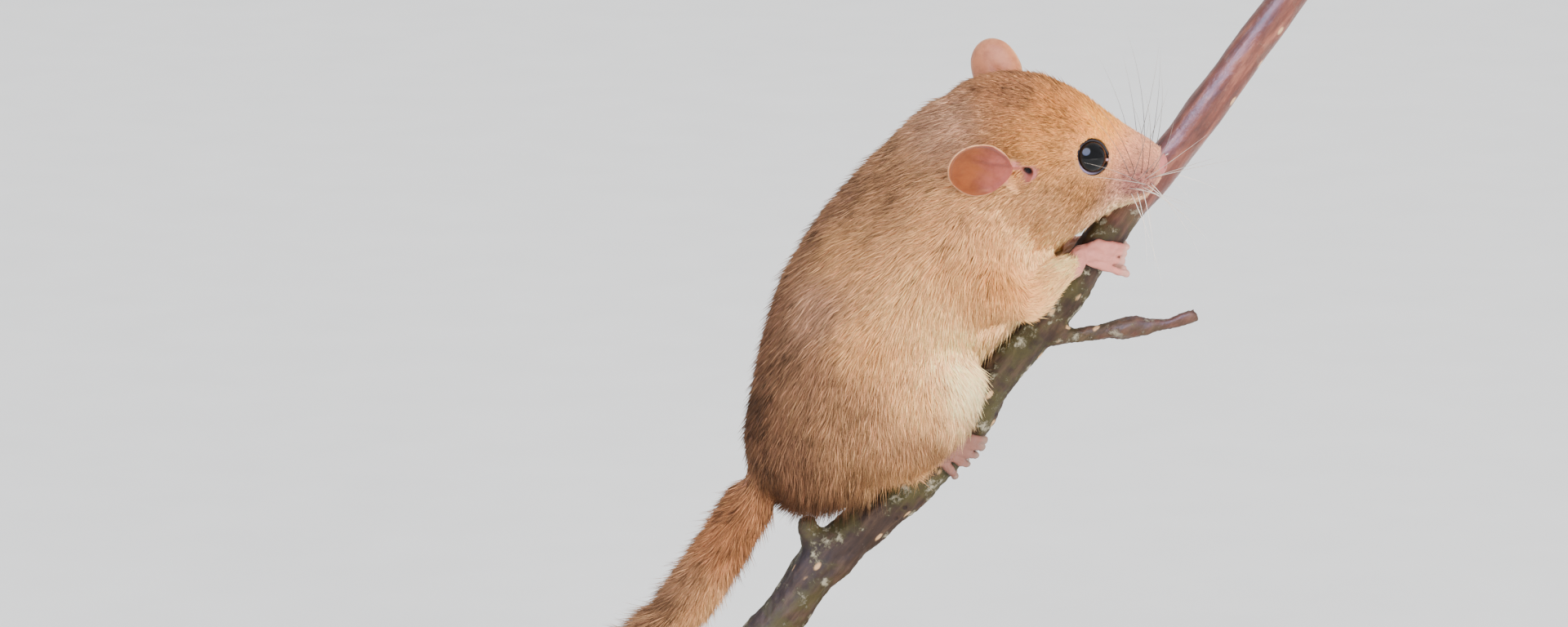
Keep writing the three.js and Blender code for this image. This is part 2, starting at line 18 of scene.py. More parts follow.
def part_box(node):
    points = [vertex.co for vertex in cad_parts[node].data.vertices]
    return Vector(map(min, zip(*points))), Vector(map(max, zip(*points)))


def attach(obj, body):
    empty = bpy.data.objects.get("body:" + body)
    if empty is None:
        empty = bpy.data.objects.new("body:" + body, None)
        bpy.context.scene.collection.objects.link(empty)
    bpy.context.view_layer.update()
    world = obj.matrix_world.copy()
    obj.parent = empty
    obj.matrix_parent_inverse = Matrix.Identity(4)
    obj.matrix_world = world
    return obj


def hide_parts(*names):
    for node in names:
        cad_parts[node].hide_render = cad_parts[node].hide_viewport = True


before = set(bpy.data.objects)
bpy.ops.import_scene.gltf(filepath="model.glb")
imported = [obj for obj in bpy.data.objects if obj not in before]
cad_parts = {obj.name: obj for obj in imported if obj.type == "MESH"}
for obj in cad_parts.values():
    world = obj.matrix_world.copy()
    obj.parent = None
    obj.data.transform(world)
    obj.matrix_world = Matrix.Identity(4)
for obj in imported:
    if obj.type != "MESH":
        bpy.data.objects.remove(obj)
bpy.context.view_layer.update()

bl_info = {
    "name": "Hazel dormouse",
    "version": (1, 0, 0),
    "blender": (4, 5, 0),
    "location": "3D View > Sidebar > Dormouse",
    "description": "Skin, coat, eyes, whiskers, bark and stand of a hazel dormouse on a stem",
    "category": "Object",
}

MM = 0.001
WELD = 0.001 * MM  # vertices closer than this are one
SIDES = {"right": -1, "left": 1}  # the sign of Y on each side of the body

# Each node of furred flesh: how deep its skin lies under the tips of the coat, how much it is smoothed,
# and its tufts: number for each square millimetre, length, width, angle from the skin in degrees, and
# how far their tips lean together.
FLESH_COLUMNS = ("depth", "smooth", "density", "length", "width", "lift", "clump")
FLESH = {
    "head": (0.5, 0.30, 62, 1.8, 0.07, 12, 0.08),
    "neck": (0.85, 0.5, 42, 2.5, 0.08, 14, 0.09),
    "chest": (0.95, 0.5, 36, 2.9, 0.086, 14, 0.1),
    "belly": (0.95, 0.5, 36, 2.9, 0.086, 15, 0.1),
    "rump": (0.95, 0.5, 36, 2.8, 0.086, 14, 0.1),
    "tail_base": (0.7, 0.5, 66, 3.1, 0.065, 25, 0.14),
    "tail_middle": (1.1, 0.5, 80, 3.8, 0.07, 33, 0.16),
    "tail_tip": (1.0, 0.5, 80, 3.5, 0.07, 28, 0.18),
    "upper_arm": (0.8, 0.5, 38, 2.4, 0.08, 14, 0.09),
    "forearm": (0.5, 0.4, 50, 1.6, 0.07, 13, 0.09),
    "thigh": (0.9, 0.5, 36, 2.9, 0.086, 14, 0.1),
    "shank": (0.6, 0.5, 44, 2.0, 0.078, 14, 0.09),
}
PAIRED = ("upper_arm", "forearm", "thigh", "shank")
TAIL = ("tail_base", "tail_middle", "tail_tip")
PARTS = [name for name in FLESH if name not in PAIRED]
PARTS += [f"{name}_{side}" for name in PAIRED for side in SIDES]

# The head is turned to the viewer and rolled about this point after its features are placed.
HEAD_PIVOT = (14.0, 0.0, 85.5)
HEAD_TURN = Matrix.Rotation(math.radians(-6), 3, "Z") @ Matrix.Rotation(math.radians(12), 3, "X")

# Features of the head before it is turned. Y is for the left side where a feature has two sides.
NOSE_PAD = (35.5, 0.0, 85.6)
NOSTRIL = (36.15, 0.74, 85.6)
PHILTRUM = [(36.4, 0.0, 85.2), (36.0, 0.0, 83.9)]
MOUTH = [
    (35.9, 0.0, 83.9), (35.0, 0.88, 82.96), (33.85, 1.69, 82.27), (32.3, 2.48, 81.91),
    (30.7, 3.55, 82.15),
]
WHISKER_PAD = (32.9, 3.0, 84.3)
EAR_CANAL = [(19.0, 11.2, 87.5), (19.0, 5.6, 87.9)]  # from outside inwards
EAR_REACH = (0.52, 0.50)  # middle and half length of the flap, as shares of its length
EARS = {
    "right": ((17.4, -9.3, 87.5), (9.8, -13.2, 90.5), (0.30, -0.93, -0.10)),
    "left": ((15.9, 8.8, 88.7), (12.0, 13.2, 96.4), (0.22, 0.97, -0.10)),
}

# The lines that the trunk, the tail and the left limbs follow.
SPINE_LINE = [
    (36.3, 0, 85.4), (33.05, 0, 85.1), (27.5, 0, 85.95), (22.7, 0, 86.35), (17.6, 0, 85.3),
    (13.1, 0, 81.15), (6.5, 0, 73.6), (-0.2, 0, 65.0), (-4.45, 0, 55.45), (-8.7, 0, 46.5),
    (-12.65, 0, 41.3),
]
TAIL_LINE = [
    (-13.2, 0.0, 45.6), (-18.1, 0.1, 38.8), (-24.3, 0.5, 28.9), (-28.5, 0.8, 23.4), (-33.6, 1.1, 18.2),
    (-39.2, 1.4, 13.8), (-45.2, 1.6, 10.5), (-51.3, 1.7, 8.4), (-57.3, 1.7, 7.7), (-62.4, 1.6, 8.2),
]
ARM_LINE = [(6.6, 7.2, 78.0), (14.0, 8.3, 69.8), (16.6, 8.4, 67.1), (24.6, 3.4, 73.4), (29.0, 2.5, 73.0)]
LEG_LINE = [(-8.4, 6.8, 50.6), (3.0, 8.6, 55.8), (10.6, 8.4, 59.4), (2.0, 5.4, 46.4), (11.0, 3.5, 49.0)]

# The stem's line: x, y, z and radius, and the places where the paws hold it, as shares of its length.
STEM = [
    (-19.3, 1.0, 16.1, 3.1), (-16.1, 1.0, 20.9, 3.0), (-12.0, 1.0, 26.7, 3.0), (-7.8, 1.0, 32.6, 3.1),
    (-2.1, 1.0, 37.9, 2.9), (4.2, 1.0, 43.2, 2.75), (9.9, 1.2, 49.6, 2.65), (13.8, 1.4, 56.0, 2.6),
    (18.2, 1.8, 61.9, 2.7), (24.0, 2.3, 68.8, 2.6), (29.7, 3.0, 77.3, 2.55), (37.5, 4.2, 86.4, 2.5),
    (43.8, 5.2, 94.9, 2.45), (54.0, 6.6, 108.8, 2.4),
]
HAND_GRIP = 0.726
FOOT_GRIP = 0.442
# Points of fingers and toes beside the stem, from the palm or sole to the tip: distance up the stem,
# angle round it and distance from its middle.
FINGERS = [
    [(2.2, -10, 3.75), (3.0, 16, 3.7), (3.6, 40, 3.45), (3.8, 62, 3.35)],
    [(1.7, -4, 3.75), (2.3, 22, 3.75), (2.8, 44, 3.6), (2.9, 66, 3.5)],
    [(0.8, -2, 3.75), (1.3, 24, 3.8), (1.7, 48, 3.8), (1.9, 68, 3.9)],
    [(-0.2, -6, 3.8), (0.2, 24, 3.9), (0.6, 50, 4.5), (1.0, 68, 5.3)],
]
TOES = [
    [(1.8, -8, 3.9), (3.2, 12, 3.85), (3.9, 32, 3.65), (4.1, 50, 3.45)],
    [(1.4, 2, 3.9), (2.5, 24, 3.85), (3.0, 46, 3.65), (3.1, 64, 3.45)],
    [(0.8, 6, 3.9), (1.4, 28, 3.85), (1.7, 50, 3.65), (1.8, 67, 3.45)],
    [(0.0, 6, 3.9), (0.1, 30, 3.85), (0.2, 50, 3.65), (0.2, 66, 3.45)],
    [(-1.2, 2, 3.9), (-1.5, 24, 3.85), (-1.8, 44, 3.65), (-2.0, 62, 3.45)],
]
# The forearm's and the shank's last points on the left side, with the radius there.
WRIST = [((22.6, 4.7, 71.3), 1.0), ((24.3, 3.7, 72.2), 1.1)]
ANKLE = [((3.6, 6.4, 48.6), 1.75), ((2.2, 5.5, 46.6), 1.6)]
PALM = [((-0.5, -23, 5.3), 1.1), ((0.1, -24, 4.3), 1.15), ((1.1, 0, 4.0), 0.95)]
SOLE = [((-5.2, -36, 4.5), 1.35), ((-2.6, -20, 4.5), 1.25), ((0.0, -4, 4.25), 1.05)]

# How the coat lies, seen from the side: a place as x, z and the way the hair points there.
LIE = [
    ((35.0, 86.5), (-1.0, 0.55)), ((31.0, 89.5), (-1.0, 0.5)), ((24.0, 94.0), (-1.0, 0.1)),
    ((31.0, 82.5), (-1.0, -0.25)), ((25.0, 83.5), (-0.85, -0.5)), ((26.0, 79.0), (-0.8, -0.55)),
    ((16.0, 95.0), (-1.0, -0.1)), ((12.0, 86.0), (-0.95, -0.3)), ((5.0, 91.0), (-0.85, -0.55)),
    ((3.0, 80.0), (-0.85, -0.55)), ((14.0, 77.0), (-0.5, -0.85)), ((17.0, 71.5), (-0.1, -1.0)),
    ((12.0, 68.0), (-0.05, -1.0)), ((-5.0, 80.0), (-0.75, -0.65)), ((-3.0, 70.0), (-0.7, -0.7)),
    ((5.0, 66.0), (-0.25, -1.0)), ((-12.0, 68.0), (-0.45, -0.9)), ((-8.0, 60.0), (-0.3, -0.95)),
    ((9.0, 58.0), (0.1, -1.0)), ((0.0, 54.0), (0.0, -1.0)), ((-15.5, 56.0), (-0.15, -1.0)),
    ((-8.0, 50.0), (-0.1, -1.0)), ((6.0, 50.0), (0.2, -1.0)), ((-16.0, 47.0), (-0.3, -0.95)),
    ((-4.0, 44.0), (0.0, -1.0)),
]

# The colours of the coat in soft daylight, as red, green and blue of 255.
COAT_COLOURS = {
    "pink buff": (210, 150, 120), "mauve": (150, 96, 98), "orange": (238, 156, 60),
    "russet": (184, 120, 60), "tawny": (196, 135, 74), "fox brown": (172, 117, 78),
    "olive brown": (160, 110, 64), "brown": (172, 127, 90), "dun": (156, 114, 84),
    "umber": (135, 96, 70), "dark umber": (106, 73, 51), "sand": (202, 151, 103),
    "bright sand": (212, 158, 104), "ash": (188, 144, 114), "buff": (230, 178, 122),
    "pale buff": (255, 200, 140), "cream": (255, 210, 163),
}
# The colour of the coat at landmarks of the body: x, distance from the middle plane, z.
COAT_TONES = {
    "nose bridge": ((32.5, 2.6, 87.9), "pink buff"),
    "whisker pad": ((32.6, 3.6, 84.3), "mauve"),
    "forehead": ((29.3, 2.2, 91.2), "orange"),
    "crown": ((23.5, 3.5, 94.6), "russet"),
    "top of the head": ((17.6, 3.2, 96.6), "fox brown"),
    "temple": ((21.7, 7.7, 91.6), "tawny"),
    "under the eye": ((26.5, 7.4, 84.6), "olive brown"),
    "cheek": ((21.8, 9.6, 83.2), "sand"),
    "jaw": ((20.7, 8.0, 78.3), "buff"),
    "chin": ((31.5, 1.5, 80.5), "cream"),
    "nape": ((8.9, 5.4, 92.6), "ash"),
    "side of the neck": ((9.7, 12.3, 80.5), "sand"),
    "throat": ((23.1, 7.5, 75.1), "pale buff"),
    "shoulder": ((10.3, 13.8, 74.7), "bright sand"),
    "upper arm": ((17.3, 12.6, 74.9), "tawny"),
    "side of the chest": ((17.1, 13.5, 70.2), "bright sand"),
    "breast": ((19.0, 3.0, 67.0), "cream"),
    "forearm": ((20.0, 7.5, 70.0), "buff"),
    "top of the back": ((0.9, 7.2, 83.9), "brown"),
    "spine": ((-4.0, 2.0, 82.5), "dun"),
    "back": ((-4.3, 9.2, 76.5), "sand"),
    "saddle": ((-8.4, 10.3, 69.4), "ash"),
    "middle of the spine": ((-8.8, 2.0, 76.0), "dun"),
    # The umber of the lower back and loin is partly the coat's darker back and partly painted shade on the
    # back's edge, seen from the side, run on as a line down to the rump.
    "lower back": ((-12.5, 3.0, 69.0), "umber"),
    "loin": ((-15.2, 3.0, 62.0), "umber"),
    "flank": ((4.5, 13.4, 69.7), "buff"),
    "lower flank": ((-1.2, 13.9, 64.9), "bright sand"),
    "side of the belly": ((10.6, 13.4, 66.4), "pale buff"),
    "belly": ((9.0, 3.0, 55.5), "cream"),
    "hip": ((-9.2, 12.2, 61.4), "dun"),
    "haunch": ((-2.8, 13.9, 58.1), "brown"),
    "thigh": ((4.0, 14.4, 59.4), "buff"),
    "knee": ((11.0, 15.8, 62.5), "cream"),
    "shin": ((3.8, 14.2, 52.2), "brown"),
    "shank": ((6.0, 9.0, 50.0), "bright sand"),
    "rump": ((-13.3, 10.3, 51.4), "umber"),
    "back of the rump": ((-16.5, 4.0, 55.0), "dark umber"),
    "under the rump": ((-8.0, 6.0, 42.5), "dark umber"),
    "root of the tail": ((-18.3, 2.7, 37.3), "fox brown"),
    "back of the tail": ((-26.6, 1.5, 31.0), "dun"),
    "fringe of the tail": ((-21.8, 2.0, 27.2), "sand"),
    "bend of the tail": ((-35.5, 1.5, 20.0), "dun"),
    "lower tail": ((-44.0, 2.5, 11.0), "fox brown"),
    "tip of the tail": ((-62.0, 2.0, 8.0), "dun"),
}
TUFTS = 360000
TUFTS_PER_PIECE = 45000
GUARD_HAIRS = 0.10  # the share of long, thin tufts that stand out
FLECKED_LOCKS = 0.13  # the share of locks with dark flecks where the coat is mottled
DARK_HAIRS = 0.035
PALE_TIPS = 0.12
EYE_EDGE = 2.27  # no hair reaches closer to the middle of an eye
FUR_SLOTS = {
    "face_fur": ("head",),
    "back_fur": ("neck", "chest", "belly", "rump", "upper_arm", "thigh"),
    "belly_fur": ("forearm", "shank"),
    "tail_fur": TAIL,
}
TUFT_PATCH = 0.003  # across a tuft's patch in the bake map
WHISKER_RADIUS = 0.05
CLAW_RADIUS = 0.24

# Whiskers of the viewer's side: angle from straight ahead, upwards, in degrees; how far it stands out
# to the side; length; and how dark it is.
WHISKERS = [
    (112, 0.30, 13, 0.9), (102, 0.22, 16, 1.0), (95, 0.40, 18, 1.0), (88, 0.28, 17, 1.0),
    (80, 0.45, 15, 0.9), (72, 0.30, 17, 0.9), (62, 0.55, 15, 0.8), (50, 0.45, 16, 0.5),
    (38, 0.60, 17, 0.4), (26, 0.55, 18, 0.3), (12, 0.65, 17, 0.2), (0, 0.60, 16, 0.1),
    (-14, 0.70, 15, 0.1), (-28, 0.55, 15, 0.1), (-44, 0.60, 13, 0.1), (-58, 0.50, 14, 0.1),
    (-72, 0.40, 12, 0.1), (-86, 0.45, 11, 0.1), (130, 0.50, 14, 0.8), (150, 0.60, 16, 0.6),
]
WHISKERS_IN_A_ROW = 5

# The turned collar at the foot of the rod: radius and height, up to the plain rod.
COLLAR = [(0, 0), (3.2, 0), (3.4, 0.2), (3.4, 0.6), (3.2, 0.8), (2.2, 1.3), (1.75, 1.9), (1.6, 2.8)]

# The soft lamps: the way and the distance from the animal and the width, in metres, the power in watts,
# the colour, and whether the lamp is seen in reflections and whether it lights what is matt.
LAMPS = {
    "key": ((-0.40, -0.85, 1.05), 1.3, 17.5, (0.97, 0.98, 1.0), True, True),
    "fill": ((0.65, -0.95, 0.06), 0.8, 38.0, (1.0, 0.98, 0.95), False, True),
    "sky": ((-0.28, -0.60, 0.62), 0.85, 22.0, (0.42, 0.52, 1.0), True, False),
    "rim": ((0.1, 0.9, 0.9), 0.6, 6.0, (1.0, 1.0, 1.0), False, True),
}
WORLD_STRENGTH = 1.15


def linear(colour):
    """An 8-bit colour as Blender's linear values."""
    share = np.asarray(colour, float) / 255
    return np.where(share <= 0.04045, share / 12.92, ((share + 0.055) / 1.055) ** 2.4)


def smoothstep(low, high, value):
    """0 up to low, 1 from high on, and a soft rise between them."""
    share = np.clip((value - low) / (high - low), 0, 1)
    return share * share * (3 - 2 * share)


def unit(vectors):
    """Vectors at a length of 1."""
    return vectors / np.maximum(np.linalg.norm(vectors, axis=-1, keepdims=True), 1e-9)


def ripples(points, scale, count, random):
    """A smooth random field of about -1 to 1 over points, from waves of about 6 / scale in length."""
    turns = random.normal(0, scale, (3, count))
    return np.sin(points @ turns + random.uniform(0, 2 * math.pi, count)).sum(1) * math.sqrt(2 / count)


def nearest_on_line(points, line):
    """For each point its share along a line of points, its distance from it and the line's way there."""
    line = np.asarray(line, float)
    best = np.full(len(points), 1e9)
    share = np.zeros(len(points))
    way = np.zeros((len(points), line.shape[1]))
    for i, (start, end) in enumerate(zip(line[:-1], line[1:])):
        step = end - start
        along = np.clip(((points - start) @ step) / (step @ step), 0, 1)
        distance = np.linalg.norm(points - start - along[:, None] * step, axis=1)
        closer = distance < best
        best[closer] = distance[closer]
        share[closer] = (i + along[closer]) / (len(line) - 1)
        way[closer] = step / np.linalg.norm(step)
    return share, best, way


def blended(points, places, values, soft):
    """Values given at some places, spread over points by closeness."""
    gap = ((points[:, None, :] - np.asarray(places, float)[None]) ** 2).sum(2)
    weight = 1 / (gap + soft**2) ** 2
    return (weight @ np.asarray(values, float)) / weight.sum(1, keepdims=True)


def turned(point):
    """A point of the head, in millimetres, after the head is turned."""
    pivot = Vector(HEAD_PIVOT)
    return np.array(HEAD_TURN @ (Vector(point) - pivot) + pivot)


def straightened(points):
    """Points with the head's turn taken out, fully in the head and fading out in the neck."""
    pivot = np.array(HEAD_PIVOT)
    straight = (points - pivot) @ np.array(HEAD_TURN) + pivot
    share = smoothstep(2.0, 15.0, points[:, :1])
    return points + (straight - points) * share


def one_side(points):
    """Points mirrored to the left side of the body."""
    return np.column_stack([points[:, 0], np.abs(points[:, 1]), points[:, 2]])


def coat_tone(points):
    """The coat's linear colour at points in millimetres."""
    places = [place for place, _ in COAT_TONES.values()]
    tones = [linear(COAT_COLOURS[colour]) for _, colour in COAT_TONES.values()]
    return blended(one_side(straightened(points)), places, tones, 3.0)


def coat_lie(points, parts):
    """The way the hair points at points in millimetres, before it is laid on the skin."""
    places = [place for place, _ in LIE]
    ways = unit(np.array([way for _, way in LIE]))
    flat = blended(points[:, [0, 2]], places, ways, 1.5)
    lie = np.column_stack([flat[:, 0], np.zeros(len(points)), flat[:, 1]])
    forearm = belongs(parts, ["forearm"])
    way = nearest_on_line(one_side(points), ARM_LINE[2:])[2] * [1, 0, 1]
    lie[forearm] = way[forearm]
    tail_way = nearest_on_line(points, TAIL_LINE)[2]
    near = belongs(parts, TAIL)[:, None] * smoothstep(-14.0, -19.0, points[:, :1])
    return unit(lie * (1 - near) + tail_way * near)


def besides_stem(grip, hand, up, angle, distance):
    """A point beside the stem, in millimetres. hand is 1 on the viewer's side and -1 on the far one."""
    line = np.array(STEM)[:, :3]
    place = grip * (len(line) - 1)
    i = int(place)
    start = line[i] + (line[i + 1] - line[i]) * (place - i)
    way = unit(line[i + 1] - line[i])
    depth = unit(np.array([0, 1, 0]) - way * way[1])
    across = np.cross(depth, way)
    turn = math.radians(angle)
    return start + way * up + across * distance * math.sin(turn) - depth * hand * distance * math.cos(turn)


class Socket:
    """A shader socket that can stand in a Python expression of numbers."""

    def __init__(self, shader, output):
        self.shader = shader
        self.output = output

    def maths(self, operation, first, second):
        return self.shader.node("ShaderNodeMath", {"operation": operation}, {0: first, 1: second})

    def __add__(self, other):
        return self.maths("ADD", self, other)

    def __mul__(self, other):
        return self.maths("MULTIPLY", self, other)

    def __sub__(self, other):
        return self.maths("SUBTRACT", self, other)

    def __rsub__(self, other):
        return self.maths("SUBTRACT", other, self)

    __radd__ = __add__
    __rmul__ = __mul__


class Shader:
    """A material and its nodes."""

    def __init__(self, name, **settings):
        self.material = bpy.data.materials.new(name)
        self.material.use_nodes = True
        self.tree = self.material.node_tree
        self.tree.nodes.clear()
        self.surface = self.tree.nodes.new("ShaderNodeBsdfPrincipled")
        out = self.tree.nodes.new("ShaderNodeOutputMaterial")
        self.tree.links.new(self.surface.outputs[0], out.inputs[0])
        self.set(**settings)

    def set(self, **values):
        """Puts values or sockets on the surface. A name's underscores stand for spaces."""
        for name, value in values.items():
            self.put(self.surface.inputs[name.replace("_", " ")], value)

    def put(self, socket, value):
        """Links a socket to another one, or sets its value."""
        if isinstance(value, Socket):
            self.tree.links.new(value.output, socket)
        elif socket.type == "RGBA" and len(value) == 3:
            socket.default_value = (*value, 1)
        else:
            socket.default_value = value

    def node(self, kind, settings=None, sockets=None, output=0):
        """A new node's output socket."""
        made = self.tree.nodes.new(kind)
        for name, value in (settings or {}).items():
            if name == "stops":
                self.set_stops(made.color_ramp, value)
            else:
                setattr(made, name, value)
        for name, value in (sockets or {}).items():
            self.put(made.inputs[name], value)
        return Socket(self, made.outputs[output])

    @staticmethod
    def set_stops(ramp, stops):
        while len(ramp.elements) < len(stops):
            ramp.elements.new(1)
        for element, (place, colour) in zip(ramp.elements, stops):
            element.position = place
            element.color = (*colour, 1) if len(colour) == 3 else colour

    def place(self, scale=(1, 1, 1), turn=(0, 0, 0)):
        """Object coordinates, scaled and turned."""
        coordinates = self.node("ShaderNodeTexCoord", output="Object")
        sockets = {"Vector": coordinates, "Scale": scale, "Rotation": turn}
        return self.node("ShaderNodeMapping", {"vector_type": "POINT"}, sockets)

    def noise(self, place, scale, detail=3, roughness=0.5):
        sockets = {"Vector": place, "Scale": scale, "Detail": detail, "Roughness": roughness}
        return self.node("ShaderNodeTexNoise", sockets=sockets)

    def cells(self, place, scale):
        """How far a place is from the middle of its cell."""
        sockets = {"Vector": place, "Scale": scale, "Randomness": 1}
        return self.node("ShaderNodeTexVoronoi", sockets=sockets)

    def ramp(self, value, *stops):
        return self.node("ShaderNodeValToRGB", {"stops": stops}, {0: value})

    def step(self, value, low, high):
        """0 up to low, 1 from high on, and a soft rise between them."""
        sockets = {"Value": value, "From Min": low, "From Max": high}
        return self.node("ShaderNodeMapRange", {"interpolation_type": "SMOOTHSTEP"}, sockets)

    def mix(self, share, first, second, blend="MIX"):
        sockets = {"Factor": share, "A": first, "B": second}
        node = self.tree.nodes.new("ShaderNodeMix")
        node.data_type = "RGBA"
        node.blend_type = blend
        for name, value in sockets.items():
            kind = "VALUE" if name == "Factor" else "RGBA"
            socket = next(s for s in node.inputs if s.name == name and s.type == kind)
            self.put(socket, value)
        return Socket(self, next(s for s in node.outputs if s.type == "RGBA"))

    def painted(self, share, value, *stops):
        """The painted tone, shaded by a share of a ramp over a value."""
        return self.mix(share, self.attribute("tone"), self.ramp(value, *stops), "MULTIPLY")

    def attribute(self, name, output="Color"):
        return self.node("ShaderNodeAttribute", {"attribute_name": name}, output=output)

    def bump(self, height, strength, distance):
        sockets = {"Height": height, "Strength": strength, "Distance": distance}
        self.set(Normal=self.node("ShaderNodeBump", sockets=sockets))


def hair_material(name, roughness, specular):
    """Hair in the colours that are painted on it."""
    shader = Shader(name, Roughness=roughness, Specular_IOR_Level=specular)
    shader.set(Base_Color=shader.attribute("coat"))
    return shader.material


def grained_material(name, stretch, scale, detail, tones, rough=None, relief=None, **settings):
    """A finish of two tones that follow a fine grain, which may also roughen it and give it relief."""
    shader = Shader(name, **settings)
    grain = shader.noise(shader.place(stretch), scale, detail)
    shader.set(Base_Color=shader.ramp(grain, *tones))
    if rough:
        change, least = rough
        shader.set(Roughness=grain * change + least)
    if relief:
        strength, height = relief
        shader.bump(grain, strength, height * MM)
    return shader.material


def skin_material():
    """The skin under the coat and the bare pink skin of paws, ears and nose."""
    shader = Shader("dormouse_skin", Specular_IOR_Level=0.35, Subsurface_Weight=0.12)
    shader.set(Subsurface_Radius=(0.9, 0.35, 0.25), Subsurface_Scale=1.2 * MM)
    patches = shader.noise(shader.place(), 700, 4)
    wrinkles = shader.noise(shader.place(), 3600, 5, 0.65)
    shader.set(Base_Color=shader.painted(
        0.35, patches, (0.3, (0.62, 0.62, 0.62)), (0.7, (1.25, 1.25, 1.25))))
    shader.set(Roughness=shader.step(wrinkles, 0.2, 0.9) * 0.25 + 0.45)
    shader.bump(wrinkles + patches * 0.8, 0.5, 0.12 * MM)
    return shader.material


def ear_material():
    """Thin, downy skin that lets some light through, with faint veins."""
    shader = Shader("ear_skin", Specular_IOR_Level=0.3, Subsurface_Weight=0.2)
    shader.set(Subsurface_Radius=(1.0, 0.45, 0.3), Subsurface_Scale=1.0 * MM, Sheen_Weight=0.1)
    veins = shader.noise(shader.place(), 520, 5, 0.65)
    down = shader.noise(shader.place(), 3400, 4, 0.7)
    shader.set(Base_Color=shader.painted(
        0.65, veins, (0.35, (0.62, 0.50, 0.46)), (0.55, (1.0, 1.0, 1.0)), (0.8, (1.2, 1.15, 1.1))))
    shader.set(Roughness=down * 0.2 + 0.45)
    shader.bump(down + veins * 0.6, 0.45, 0.08 * MM)
    return shader.material


def eye_material(facing, centre):
    """A black, wet eye with a very dark brown ring round its pupil."""
    shader = Shader("wet_eye", Roughness=0.04, Specular_IOR_Level=0.25)
    coordinates = shader.node("ShaderNodeTexCoord", output="Object")
    offset = shader.node("ShaderNodeVectorMath", {"operation": "SUBTRACT"}, {0: coordinates, 1: centre})
    toward = shader.node(
        "ShaderNodeVectorMath", {"operation": "DOT_PRODUCT"}, {0: offset, 1: facing}, "Value")
    streaks = shader.noise(coordinates, 1500, 3) * 0.0003
    pupil = shader.step(toward + streaks, 1.35 * MM, 1.75 * MM)
    shader.set(Base_Color=shader.mix(pupil, (0.012, 0.007, 0.005), (0.0015, 0.0015, 0.002)))
    return shader.material


def lid_material():
    """The dark, moist edge of the lids."""
    shader = Shader("lid_rim", Roughness=0.30, Coat_Weight=0.3)
    shade = shader.noise(shader.place(), 1800, 3)
    shader.set(Base_Color=shader.painted(0.5, shade, (0.3, (0.4, 0.4, 0.4)), (0.75, (1, 1, 1))))
    shader.bump(shade, 0.4, 0.05 * MM)
    return shader.material


def corner_material():
    """The pink, wet corner of the eye."""
    tones = (0.35, linear((196, 128, 132))), (0.65, linear((236, 196, 196)))
    finish = dict(Roughness=0.18, Coat_Weight=0.5, Subsurface_Weight=0.2)
    return grained_material("tear_corner", (1, 1, 1), 2600, 3, tones, relief=(0.3, 0.03), **finish)


def claw_material():
    """Pale horn."""
    tones = (0.3, (0.62, 0.44, 0.34)), (0.8, (0.80, 0.64, 0.52))
    finish = dict(Roughness=0.3, Coat_Weight=0.2, Subsurface_Weight=0.2)
    return grained_material("claw_horn", (1, 1, 3), 2400, 2, tones, **finish)


def bark_material():
    """Red-brown bark with pale pores above, greyer below, with algae, crusts of lichen and dark pits."""
    shader = Shader("hazel_bark", Specular_IOR_Level=0.45, Coat_Roughness=0.22)
    along = shader.place(turn=(0, math.radians(-37), 0))
    fibres = shader.node("ShaderNodeMapping", sockets={"Vector": along, "Scale": (1, 1, 0.16)})
    streaks = shader.noise(fibres, 1100, 5, 0.62)
    blotches = shader.noise(along, 150, 4)
    fine = shader.noise(along, 2600, 4, 0.7)
    red = shader.ramp(
        streaks, (0.25, linear((54, 23, 17))), (0.5, linear((96, 46, 34))), (0.78, linear((150, 90, 70))))
    grey = shader.ramp(
        streaks * 0.6 + blotches * 0.4, (0.3, linear((22, 14, 10))), (0.5, linear((50, 35, 26))),
        (0.7, linear((88, 68, 52))))
    old = shader.step(shader.attribute("age", "Fac") + blotches * 0.5, 0.5, 1.0)
    pores_at = shader.node("ShaderNodeMapping", sockets={"Vector": along, "Scale": (1, 1, 0.55)})
    pore = 1 - shader.step(shader.cells(pores_at, 430), 0.09, 0.19)
    pit = (1 - shader.step(shader.cells(along, 300), 0.05, 0.12)) * old
    algae = shader.step(shader.noise(along, 210, 5, 0.62), 0.42, 0.58) * (old * old * 0.9 + 0.05)
    crust = shader.step(shader.noise(along, 420, 6, 0.68), 0.55, 0.65) * (old * 0.9 + 0.1)
    tone = shader.mix(old, red, grey)
    tone = shader.mix(algae * 0.75, tone, linear((64, 60, 28)))
    tone = shader.mix(crust * 0.6, tone, linear((168, 160, 138)))
    tone = shader.mix(pore * 0.8, tone, linear((206, 164, 118)))
    tone = shader.mix(pit, tone, linear((38, 26, 22)))
    wood = shader.mix(shader.step(streaks, 0.35, 0.7), linear((198, 168, 130)), linear((160, 128, 94)))
    tone = shader.mix(shader.attribute("cut", "Fac"), tone, wood)
    shader.set(Base_Color=tone, Roughness=0.34 + old * 0.36, Coat_Weight=0.3 - old * 0.3)
    shader.bump(streaks * 0.5 + fine * 0.3 + pore * 0.35 + crust * 0.8 - pit * 0.8, 0.8, 0.28 * MM)
    return shader.material


def oak_material():
    """Oak with a straight, open grain under a satin varnish."""
    shader = Shader("varnished_oak", Roughness=0.42, Coat_Weight=0.3, Coat_Roughness=0.2)
    grain = shader.noise(shader.place((0.10, 1, 1)), 620, 6, 0.65)
    wave = {"Vector": shader.place((0.2, 1, 1)), "Scale": 90, "Distortion": 16, "Detail": 4}
    rings = shader.node("ShaderNodeTexWave", {"bands_direction": "Y"}, wave)
    shader.set(Base_Color=shader.ramp(
        grain * 0.75 + rings * 0.25,
        (0.25, (0.17, 0.085, 0.035)), (0.5, (0.32, 0.18, 0.085)), (0.8, (0.46, 0.29, 0.15))))
    shader.bump(grain, 0.35, 0.15 * MM)
    return shader.material


